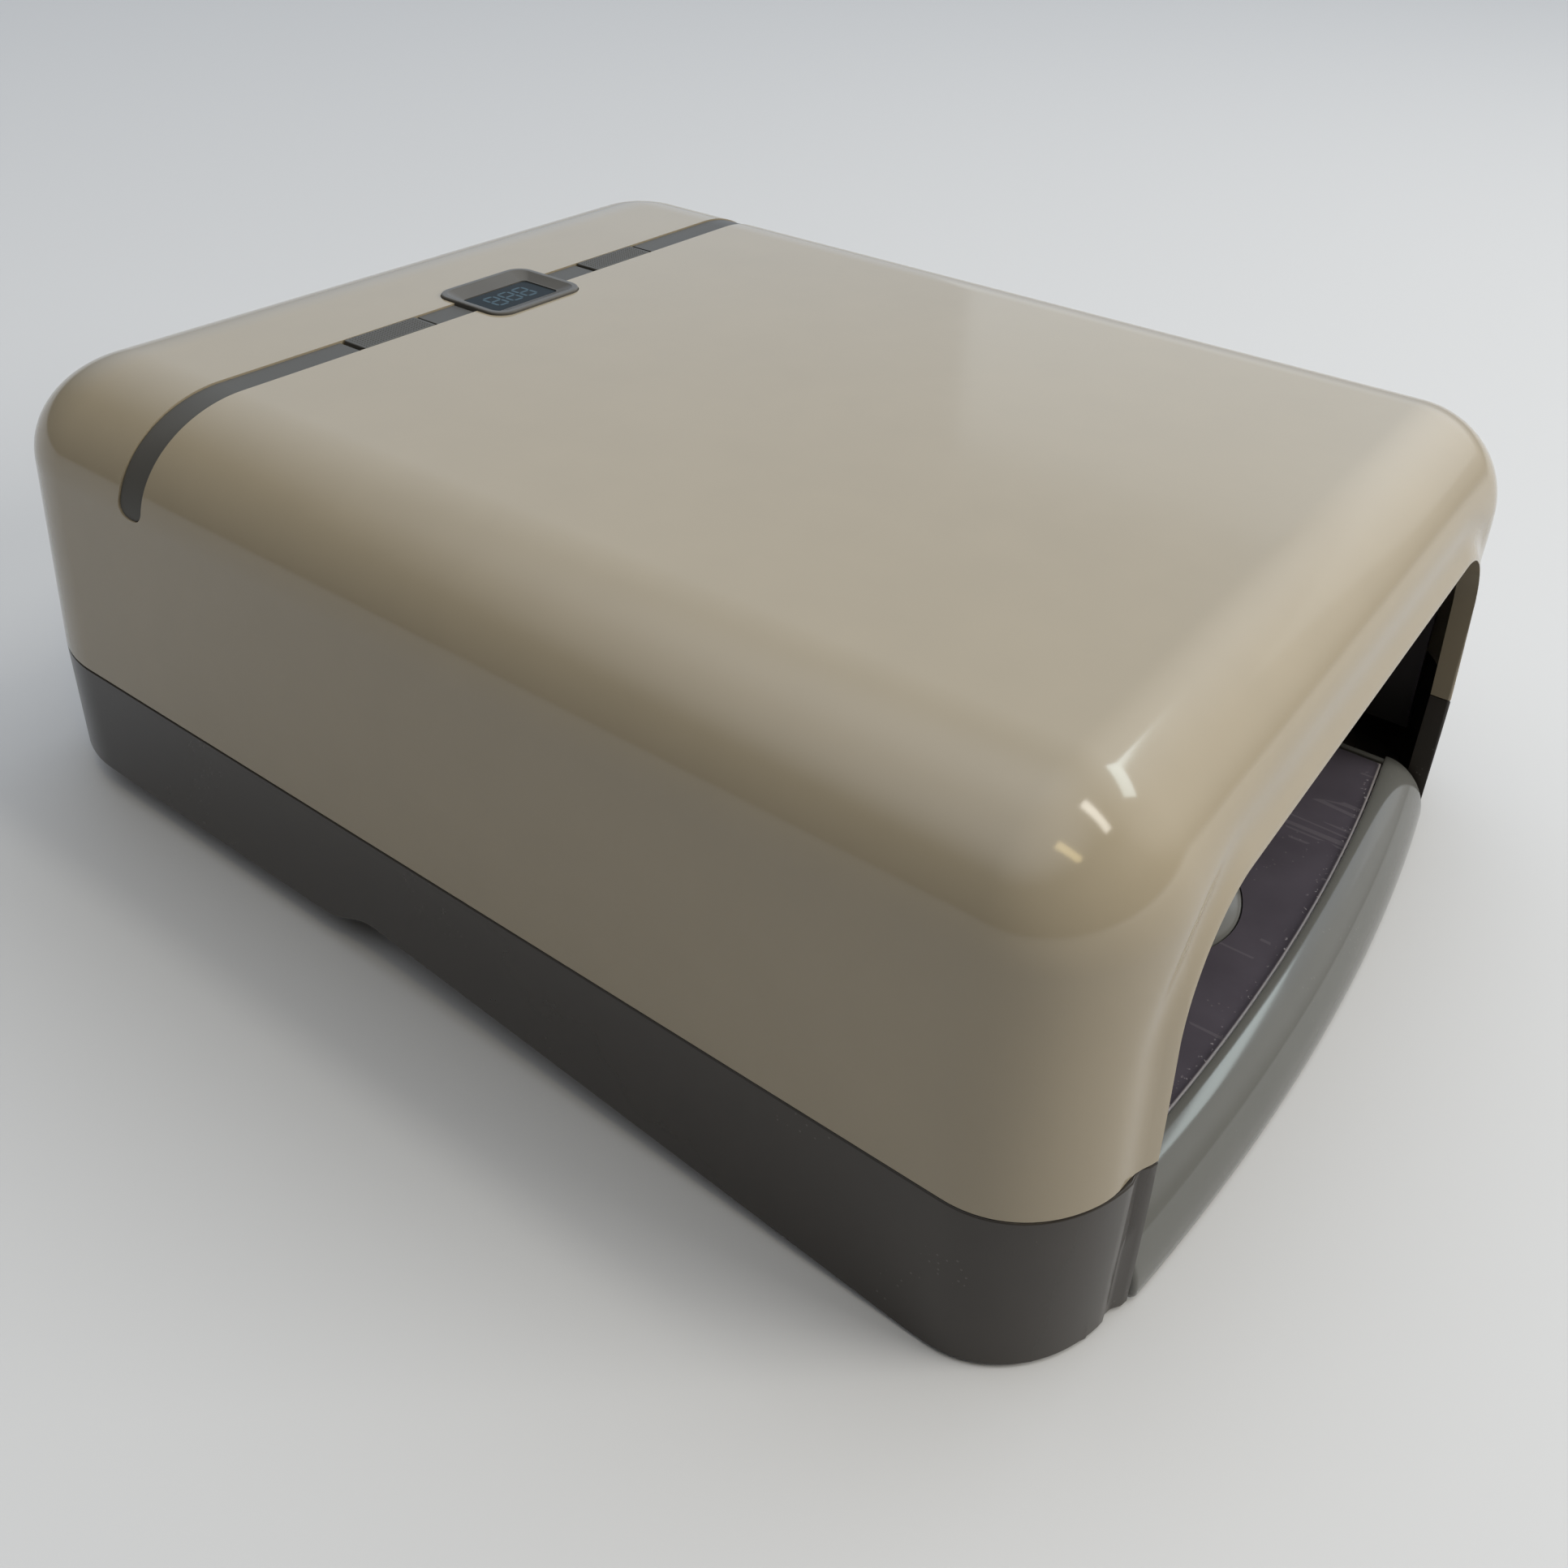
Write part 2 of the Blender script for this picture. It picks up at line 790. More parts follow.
FINISHES = (
    Finish("shell_gloss", (0.275, 0.232, 0.162), 0.09, drift=0.015, rough_spread=0.03, dust=0.0),
    Finish("casing_plastic", (0.034, 0.029, 0.0245), 0.2, drift=0.05, specular=0.35, dust=0.06),
    Finish("accent_plastic", (0.07, 0.067, 0.06), 0.4, peel=2600.0, bump=0.25, dust=0.1, specular=0.15),
    Finish("bezel_plastic", (0.09, 0.085, 0.076), 0.28, peel=1600.0, bump=0.1, dust=0.0, specular=0.15),
    Finish("window_plastic", (0.012, 0.017, 0.02), 0.06, dust=0.0, specular=0.02),
    Finish("lcd_segments", (0.05, 0.08, 0.1), 0.12, dust=0.0, specular=0.02),
    Finish("circuit_board", (0.02, 0.09, 0.035), 0.4, peel=500.0),
    Finish("black_plastic", (0.028, 0.027, 0.025), 0.36, peel=1800.0, bump=0.12),
    Finish("liner_satin", (0.055, 0.05, 0.048), 0.3, peel=700.0, bump=0.12),
    Finish("reflector_metal", (0.6, 0.61, 0.62), 0.2, metallic=1.0, wave=40.0, bump=0.1),
    Finish("tube_glass", (0.62, 0.63, 0.7), 0.12, dust=0.0, coat=0.6),
    Finish("white_plastic", (0.66, 0.64, 0.58), 0.4),
    Finish("steel", (0.45, 0.45, 0.44), 0.28, metallic=1.0, peel=1500.0, bump=0.1),
    Finish("tray_gloss", (0.108, 0.108, 0.1), 0.1, drift=0.03, rough_spread=0.03, dust=0.04, specular=0.4),
    Finish("copper_winding", (0.42, 0.16, 0.06), 0.35, metallic=0.7, peel=1500.0),
    Finish("heat_sink_metal", (0.5, 0.5, 0.5), 0.35, metallic=1.0, peel=1800.0),
    Finish("rubber", (0.015, 0.015, 0.014), 0.75, peel=1400.0, bump=0.3),
)


# ---------------------------------------------------------------------------- casing form


@dataclass(frozen=True)
class Lip:
    """The flared lip round the hand opening: how wide it is and the valley behind it."""

    width: float
    valley_depth: float
    valley_place: float
    valley_width: float


SOFT_LIP = Lip(width=2.8 * MM, valley_depth=0.8 * MM, valley_place=6.2 * MM, valley_width=4.0 * MM)
CRISP_LIP = Lip(width=2.4 * MM, valley_depth=0.9 * MM, valley_place=4.0 * MM, valley_width=1.4 * MM)


@dataclass
class CasingForm:
    """The body that shell and lower casing share: drafted sides, elliptic corners, a round shoulder."""

    lip_proud: float = 0.7 * MM
    draft: float = 0.02
    rise: float = 23.4 * MM
    corner_side: float = 28.6 * MM
    corner_front: float = 23.7 * MM
    corner_rear: float = 32.8 * MM
    wall: float = 2.8 * MM
    arch_half: float = 86.0 * MM
    arch_top: float = 84.5 * MM
    arch_radius: float = 22.0 * MM
    lip_width: float = 5.5 * MM
    lip_flare: float = 1.0 * MM
    corner_steps: int = 28

    def __post_init__(self) -> None:
        """Reads the outer sizes from the frame."""
        low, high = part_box("top_shell")
        base_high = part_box("lower_casing")[1]
        self.front = low.y + self.lip_proud
        self.rear = high.y
        self.half = high.x
        self.height = high.z
        self.seam = (low.z + base_high.z) / 2
        self.spring = self.height - self.rise

    def section(self, z: float, inward: float) -> dict[str, float]:
        """Plan sizes at a height.

        Args:
            z: The height.
            inward: How far every wall is moved in.

        Returns:
            Half width, front, rear and the corner radii.
        """
        rise = min(max((z - self.spring) / (self.rise - inward), 0.0), 1.0)
        spread = math.sqrt(max(1 - rise * rise, 0.0))
        inset = self.draft * abs(min(z, self.spring) - self.seam) + inward
        return {
            "half": self.half - inset - (self.corner_side - inward) * (1 - spread),
            "front": self.front + inset + (self.corner_front - inward) * (1 - spread),
            "rear": self.rear - inset - (self.corner_rear - inward) * (1 - spread),
            "side_radius": (self.corner_side - inward) * spread,
            "front_radius": (self.corner_front - inward) * spread,
            "rear_radius": (self.corner_rear - inward) * spread,
        }

    def outline(self, z: float, inward: float, across: np.ndarray, along: np.ndarray) -> np.ndarray:
        """The plan outline at a height.

        Args:
            z: The height.
            inward: How far every wall is moved in.
            across: Shares from -1 to 1 of the straight front, with points between the corners.
            along: Shares from 0 to 1 of the straight sides.

        Returns:
            Points in plan, anticlockwise from the front left.
        """
        s = self.section(z, inward)
        flat = s["half"] - s["side_radius"]
        low, high = s["front"] + s["front_radius"], s["rear"] - s["rear_radius"]
        turn = np.linspace(0, math.pi / 2, self.corner_steps + 1)
        cos, sin = np.cos(turn), np.sin(turn)
        parts = [
            np.column_stack([across * flat, np.full(len(across), s["front"])]),
            np.column_stack([flat + s["side_radius"] * sin, low - s["front_radius"] * cos]),
            np.column_stack([np.full(len(along), s["half"]), low + (high - low) * along]),
            np.column_stack([flat + s["side_radius"] * cos, high + s["rear_radius"] * sin]),
            np.column_stack([-flat - s["side_radius"] * sin, high + s["rear_radius"] * cos]),
            np.column_stack([np.full(len(along), -s["half"]), high - (high - low) * along]),
            np.column_stack([-flat - s["side_radius"] * cos, low - s["front_radius"] * sin]),
        ]
        return np.vstack(parts)

    def arch_distance(self, x: np.ndarray, z: np.ndarray) -> np.ndarray:
        """Distance outwards from the hand opening's outline.

        Args:
            x: Places across.
            z: Heights.

        Returns:
            Signed distances, negative inside the opening.
        """
        cx, cz = self.arch_half - self.arch_radius, self.arch_top - self.arch_radius
        dx, dz = np.abs(x) - cx, z - cz
        round_part = np.hypot(np.maximum(dx, 0), np.maximum(dz, 0)) - self.arch_radius
        above = np.where(dx < 0, z - self.arch_top, round_part)
        return np.where(dz < 0, np.abs(x) - self.arch_half, above)

    def flare(self, loop: Loop, lip: Lip) -> Loop:
        """Pushes the front face out at the lip and in along the valley behind it.

        Args:
            loop: A loop of the outer skin.
            lip: The shape of the lip.

        Returns:
            The loop with its front points moved.
        """
        reach, fade = 20 * MM, 8 * MM
        near = self.arch_distance(loop[:, 0], loop[:, 2])
        push = self.lip_flare * np.exp(-((near / lip.width) ** 2))
        dip = lip.valley_depth * np.exp(-(((near - lip.valley_place) / lip.valley_width) ** 2))
        front = np.clip((self.front + reach - loop[:, 1]) / fade, 0, 1)
        moved = loop.copy()
        moved[:, 1] += (dip - push) * front
        return moved

    def thicken(self, loop: Loop) -> Loop:
        """Moves the inner face of the front wall back round the opening.

        Args:
            loop: A loop of the inner skin.

        Returns:
            The loop with its front points moved.
        """
        depth, margin, reach = 1.2 * MM, 1.0 * MM, 8 * MM
        near = self.arch_distance(loop[:, 0], loop[:, 2])
        share = np.clip((self.lip_width + margin - near) / depth, 0, 1)
        front = (loop[:, 1] < self.front + reach).astype(float)
        moved = loop.copy()
        moved[:, 1] += depth * share * share * (3 - 2 * share) * front
        return moved

    def shoulder(self, turn: float, inward: float) -> Pair:
        """A point on the round shoulder, seen from the front.

        Args:
            turn: Angle above level, in radians.
            inward: How far below the surface.

        Returns:
            Its distance from the middle and its height.
        """
        edge = self.half - self.draft * (self.spring - self.seam) - inward
        x = edge - (self.corner_side - inward) * (1 - math.cos(turn))
        return x, self.spring + (self.rise - inward) * math.sin(turn)

    def arch_cutter(self, name: str) -> bpy.types.Object:
        """The hand opening as a cutter with a rounded mouth.

        Args:
            name: The cutter's name.

        Returns:
            The cutter.
        """
        mouth = self.front - self.lip_flare + 0.15 * MM
        radius = 0.7 * MM
        below = -20 * MM
        levels = [(radius, mouth - 8 * MM)]
        levels += [
            (radius * (1 - math.cos(a)), mouth + radius * (1 - math.sin(a))) for a in reversed(quarter(6))
        ]
        levels += [(0.0, self.front + 12 * MM)]
        turn = np.linspace(0, math.pi / 2, 33)
        bend = np.column_stack([np.cos(turn), np.sin(turn)]) - 1
        loops = []
        for grow, y in levels:
            half, top, corner = self.arch_half + grow, self.arch_top + grow, self.arch_radius + grow
            right = corner * bend + np.array([half, top])
            left = right[::-1] * np.array([-1, 1])
            feet = np.array([[-half, below], [half, below]])
            loops.append(lay(np.vstack([feet, right, left]), Plane.XZ, y))
        return loft(name, loops)


# ---------------------------------------------------------------------------- shell


@dataclass
class Shell:
    """The glossy upper moulding with its hand opening, strip groove, key and display holes and vents."""

    form: CasingForm
    edge: float = 0.28 * MM
    vent_count: int = 15
    vent_pitch: float = 9.0 * MM
    vent_width: float = 2.8 * MM
    vent_low: float = 50.0 * MM
    vent_high: float = 76.0 * MM

    def _across(self) -> np.ndarray:
        """Shares of the front's straight stretch, well under a millimetre apart."""
        return np.linspace(-1, 1, 270)[1:-1]

    def _along(self) -> np.ndarray:
        """Shares of the straight sides."""
        return np.linspace(0, 1, 12)[1:-1]

    def _outer(self) -> list[Loop]:
        """Loops of the outer skin, from the seam up over the shoulder.

        Returns:
            The loops.
        """
        form = self.form
        foot = form.seam + GAP / 2
        rows = [
            (foot + self.edge * (1 - math.cos(a)), self.edge * (1 - math.sin(a))) for a in quarter(4)
        ]
        rows += [(z, 0.0) for z in np.arange(foot + 2 * MM, form.spring - 28 * MM, 3 * MM)]
        rows += [(z, 0.0) for z in np.linspace(form.spring - 27 * MM, form.spring, 42)]
        rows += [(form.spring + form.rise * math.sin(a), 0.0) for a in quarter(46)[1:]]
        loops = []
        for z, inward in rows:
            plan = form.outline(z, inward, self._across(), self._along())
            loops.append(form.flare(lay(plan, Plane.XY, z), SOFT_LIP))
        return loops

    def _inner(self) -> list[Loop]:
        """Loops of the inner skin, from the ceiling down to the seam.

        Returns:
            The loops.
        """
        form = self.form
        rows = [form.spring + (form.rise - form.wall) * math.sin(a) for a in reversed(quarter(12)[1:])]
        rows += list(np.linspace(form.spring, form.seam + GAP / 2, 16))
        loops = []
        for z in rows:
            plan = form.outline(z, form.wall, self._across(), self._along())
            loops.append(form.thicken(lay(plan, Plane.XY, z)))
        return loops

    def _vents(self, material: bpy.types.Material) -> bpy.types.Object:
        """The row of vent cutters through the rear wall.

        Args:
            material: Any finish.

        Returns:
            The cutter.
        """
        seed = seed_points("vent_row", [(0, 0, 0)])
        values = {
            "Count": self.vent_count,
            "Pitch": self.vent_pitch,
            "Width": self.vent_width,
            "Height": self.vent_high - self.vent_low,
            "Depth": 14 * MM,
        }
        row = slot_recipe("vent_slots", material).run(seed, values)
        first = -self.vent_pitch * (self.vent_count - 1) / 2
        middle = (self.vent_low + self.vent_high) / 2
        row.data.transform(Matrix.Translation((first, self.form.rear - 10 * MM, middle)))
        return row

    def build(
        self,
        strip: "AccentStrip",
        display: "Display",
        material: bpy.types.Material,
    ) -> bpy.types.Object:
        """Makes the shell.

        Args:
            strip: The strip that lies in its groove.
            display: The display whose bezel it holds.
            material: Its finish.

        Returns:
            The finished piece.
        """
        shell = loft("upper_shell", self._inner() + self._outer())
        cutters = [self.form.arch_cutter("arch_cutter")]
        cutters += [strip.groove_cutter(side) for side in (-1, 1)]
        cutters += [strip.key_hole(side) for side in (-1, 1)]
        cutters += [display.hole_cutter(), self._vents(material)]
        combine(shell, cutters)
        return dress(shell, "housing", ["top_shell"], material)


# ---------------------------------------------------------------------------- lower casing


@dataclass
class LowerCasing:
    """The dark lower moulding: a wall ring over a relieved skirt, side sills and a rear floor."""

    form: CasingForm
    rear_z: float = 8.0 * MM
    step_end: float = 35.5 * MM
    step_start: float = 19.0 * MM
    step_z: float = 12.7 * MM
    taper_end: float = -119.0 * MM
    floor: float = 2.6 * MM
    edge: float = 0.4 * MM
    channel_half: float = 88.3 * MM
    channel_rear: float = 62.0 * MM
    rear_inset: float = 1.5 * MM
    sole_gap: float = 0.12 * MM

    def skirt(self, y: np.ndarray) -> np.ndarray:
        """Height of the skirt's lower edge.

        Args:
            y: Places from front to rear.

        Returns:
            The heights.
        """
        front_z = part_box("lower_casing")[0].z
        share = np.clip((self.step_end - y) / (self.step_end - self.step_start), 0, 1)
        step = self.rear_z + (self.step_z - self.rear_z) * (1 - np.cos(math.pi * share)) / 2
        slope = (self.step_z - front_z) / (self.step_start - self.taper_end)
        taper = self.step_z - slope * (self.step_start - y)
        return np.maximum(np.where(y < self.step_start, taper, step), front_z)

    def _ring(self) -> bpy.types.Object:
        """The wall, with rounded top and bottom edges.

        Returns:
            The closed ring.
        """
        form = self.form
        top = form.seam - GAP / 2
        across = np.linspace(-1, 1, 60)[1:-1]
        along = np.linspace(0, 1, 122)[1:-1]
        arc = [(self.edge * (1 - math.cos(a)), self.edge * (1 - math.sin(a))) for a in quarter(4)]
        middle = np.array([0.0, (form.front + form.rear) / 2])
        rows = [(form.wall, share, 0.0) for share in (1.0, 0.5, 0.0)]
        rows += [(inset, 0.0, lift) for lift, inset in arc]
        rows += [(0.0, share, 0.0) for share in (0.15, 0.3, 0.45, 0.6, 0.75, 0.88)]
        rows += [(inset, 1.0, -drop) for inset, drop in arc]
        loops = []
        for inward, share, shift in rows:
            plan = form.outline(form.seam - 1 * MM, inward, across, along)
            low = self.skirt(plan[:, 1])
            z = low + (top - low) * share + shift
            slant = form.draft * (form.seam - z)
            reach = np.hypot(plan[:, 0] / form.half, (plan[:, 1] - middle[1]) / (form.rear - middle[1]))
            plan = middle + (plan - middle) * (1 - slant / (form.half * np.maximum(reach, 0.5)))[:, None]
            loop = np.column_stack([plan, z])
            loops.append(form.flare(loop, CRISP_LIP) if inward < form.wall else form.thicken(loop))
        return loft("lower_casing_shell", loops, ring=True)

    def _floor(self, y0: float, y1: float, inner: float, side: int) -> bpy.types.Object:
        """A floor strip that follows the skirt's edge.

        Args:
            y0: Its front.
            y1: Its rear.
            inner: Its edge nearest the middle.
            side: -1 left, 1 right.

        Returns:
            The closed strip.
        """
        form = self.form
        loops = []
        for y in np.linspace(y0, y1, 90):
            front_curve = max((form.front + form.corner_front - y) / form.corner_front, 0.0)
            rear_curve = max((y - form.rear + form.corner_rear) / form.corner_rear, 0.0)
            bend = min(max(front_curve, rear_curve), 0.995)
            outer = form.half - 2.2 * MM - form.corner_side * (1 - math.sqrt(1 - bend * bend))
            low = float(self.skirt(np.array([y]))[0]) + self.sole_gap
            high = low + self.floor
            x0, x1 = (inner, outer) if side > 0 else (-outer, -inner)
            loops.append(np.array([[x0, y, low], [x1, y, low], [x1, y, high], [x0, y, high]]))
        return loft("floor_strip", loops)

    def build(self, rear: "RearPanel", feet: "Feet", material: bpy.types.Material) -> bpy.types.Object:
        """Makes the lower casing.

        Args:
            rear: The fittings that its rear wall holds.
            feet: The feet set into it.
            material: Its finish.

        Returns:
            The finished piece.
        """
        form = self.form
        casing = self._ring()
        front, rear_end = form.front + 2.4 * MM, form.rear - self.rear_inset
        floors = [self._floor(front, rear_end, self.channel_half, side) for side in (-1, 1)]
        size = (2 * self.channel_half + 2 * MM, rear_end - self.channel_rear)
        middle = (0, (rear_end + self.channel_rear) / 2)
        span = (self.rear_z + self.sole_gap, self.rear_z + self.floor)
        rear_floor = pad("rear_floor", Plane.XY, size, middle, span, 1 * MM, 0.2 * MM)
        combine(casing, [*floors, rear_floor, *feet.pads(self)], join=True)
        combine(casing, [form.arch_cutter("front_cutter"), *rear.hole_cutters(), *feet.pocket_cutters()])
        return dress(casing, "housing", ["lower_casing"], material)


# ---------------------------------------------------------------------------- accent strip and keys


@dataclass
class AccentStrip:
    """The dark strip across the rear of the shell, with its two keys."""

    form: CasingForm
    top: float = 0.35 * MM
    bottom: float = 1.35 * MM
    end_radius: float = 3.2 * MM
    edge: float = 0.2 * MM
    seam: float = 0.35 * MM
    groove: float = 1.65 * MM
    key_skirt: float = 1.5 * MM
    dot_pitch: float = 0.85 * MM
    dot_radius: float = 0.27 * MM
    dot_margin: float = 1.2 * MM

    def __post_init__(self) -> None:
        """Reads places from the frame."""
        low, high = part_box("accent_strip_right")
        self.y = (low.y + high.y) / 2
        self.width = high.y - low.y
        self.inner_x = low.x
        self.end_z = low.z
        cap_low, cap_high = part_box("right_key")
        inset = self.key_skirt + self.seam
        self.key_x = (cap_low.x + inset, cap_high.x - inset)
        self.key_z = (cap_low.z, cap_high.z)
        link_low, link_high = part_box("accent_link_right")
        self.link_x = (link_low.x, link_high.x)

    def _stations(self, start: float, margin: float) -> list[Pair]:
        """Stations from the flat top over the shoulder to the strip's lower end.

        Args:
            start: Where the strip begins, from the middle.
            margin: How far past the end it runs.

        Returns:
            (x on the flat or the shoulder's turn, half width there); turns are stored as negative numbers.
        """
        form = self.form
        flat_end = form.shoulder(math.pi / 2, 0.0)[0]
        end_turn = math.asin((self.end_z - margin - form.spring) / form.rise)
        stations = [(x, 1.0) for x in np.linspace(start, flat_end, 16)[:-1]]
        turns = list(np.linspace(math.pi / 2, end_turn + 0.16, 40))
        turns += list(np.linspace(end_turn + 0.15, end_turn, 12))
        radius = self.end_radius + margin
        for turn in turns:
            left = (turn - end_turn) * (form.rise + form.corner_side) / 2
            drop = max(radius - left, 0.0)
            lost = radius - math.sqrt(max(radius * radius - drop * drop, 0.0))
            share = 1 - lost / (self.width / 2 + margin)
            stations.append((-turn, max(share, 0.12)))
        return stations

    def _band(
        self,
        name: str,
        side: int,
        start: float,
        margin: float,
        levels: Sequence[Pair],
    ) -> bpy.types.Object:
        """A band over the shoulder.

        Args:
            name: The object's name.
            side: -1 left, 1 right.
            start: Where it begins, from the middle.
            margin: How much wider and longer than the strip it is.
            levels: (depth below the surface, inset of the edge) from one face round to the other.

        Returns:
            The closed band.
        """
        loops = []
        for place, share in self._stations(start, margin):
            half = (self.width / 2 + margin) * share
            row = []
            for direction in (-1, 1):
                order = levels if direction < 0 else list(reversed(levels))
                for depth, inset in order:
                    if place >= 0:
                        x, z = place, self.form.height - depth
                    else:
                        x, z = self.form.shoulder(-place, depth)
                    row.append([side * x, self.y + direction * (half - inset), z])
            loops.append(np.array(row))
        return loft(name, loops)

    def groove_cutter(self, side: int) -> bpy.types.Object:
        """The groove that one side's strip and link lie in.

        Args:
            side: -1 left, 1 right.

        Returns:
            The cutter.
        """
        levels = [(self.groove, 0.0), (-1.5 * MM, 0.0)]
        return self._band("groove_cutter", side, 2 * MM, GAP * 0.6, levels)

    def key_hole(self, side: int) -> bpy.types.Object:
        """The hole that one key passes through.

        Args:
            side: -1 left, 1 right.

        Returns:
            The cutter.
        """
        x = side * (self.key_x[0] + self.key_x[1]) / 2
        size = (self.key_x[1] - self.key_x[0] + 3 * self.seam, self.width + 0.4 * MM)
        span = (self.form.height - 8 * MM, self.form.height + 3 * MM)
        return pad("key_hole", Plane.XY, size, (x, self.y), span, 0.6 * MM, 0.1 * MM)

    def _key(self, side: int, material: bpy.types.Material) -> bpy.types.Object:
        """One key with its captive skirt and its field of fine dots.

        Args:
            side: -1 left, 1 right.
            material: Its finish.

        Returns:
            The key.
        """
        x0, x1 = self.key_x
        centre = (side * (x0 + x1) / 2, self.y)
        low, high = self.key_z
        size = np.array([x1 - x0, self.width])
        span = (low + 1.2 * MM, high)
        cap = pad(f"key_cap_{side}", Plane.XY, size, centre, span, 0.5 * MM, 0.3 * MM)
        span = (low, low + self.key_skirt)
        skirt = pad("key_skirt", Plane.XY, size + 2 * self.key_skirt, centre, span, 1 * MM, 0.2 * MM)
        combine(cap, [skirt], join=True)
        count = ((size - self.dot_margin) / self.dot_pitch).astype(int)
        first = np.array(centre) - (count - 1) / 2 * self.dot_pitch
        points = [
            (*(first + np.array([i, j]) * self.dot_pitch), high)
            for i in range(count[0])
            for j in range(count[1])
        ]
        radius = self.dot_radius
        profile = [(radius, -0.05 * MM), (radius * 0.8, 0.07 * MM), (radius * 0.3, 0.12 * MM)]
        stamp = turned("key_dot", profile, Vector((0, 0, 0)), sides=8)
        recipe = scatter_recipe(f"key_dots_{side}", stamp, material)
        dots = recipe.run(seed_points("key_dots", points), {"Scale": 1.0})
        bpy.data.objects.remove(stamp)
        merge(cap, [dots])
        return cap

    def build(self, material: bpy.types.Material) -> list[bpy.types.Object]:
        """Makes strips, links and keys.

        Args:
            material: The finish that they share.

        Returns:
            The finished pieces.
        """
        made = []
        edge = self.edge
        bevel = [(self.top + edge, 0.0), (self.top + 0.3 * edge, 0.3 * edge), (self.top, edge)]
        levels = [(self.bottom, 0.0), *bevel]
        x0, x1 = self.link_x
        span = (self.form.height - self.bottom, self.form.height - self.top)
        for side, name in ((-1, "left"), (1, "right")):
            strip = self._band(f"strip_{name}", side, self.inner_x + self.seam, 0.0, levels)
            made.append(dress(strip, "housing", [f"accent_strip_{name}"], material))
            middle = (side * (x0 + x1) / 2, self.y)
            link = pad(f"strip_link_{name}", Plane.XY, (x1 - x0, self.width), middle, span, 0.3 * MM, edge)
            made.append(dress(link, "housing", [f"accent_link_{name}"], material))
            key = self._key(side, material)
            key.name = f"key_{name}"
            made.append(dress(key, f"{name}_key_cap", [f"{name}_key"], material, crease=50))
        return made


# ---------------------------------------------------------------------------- display


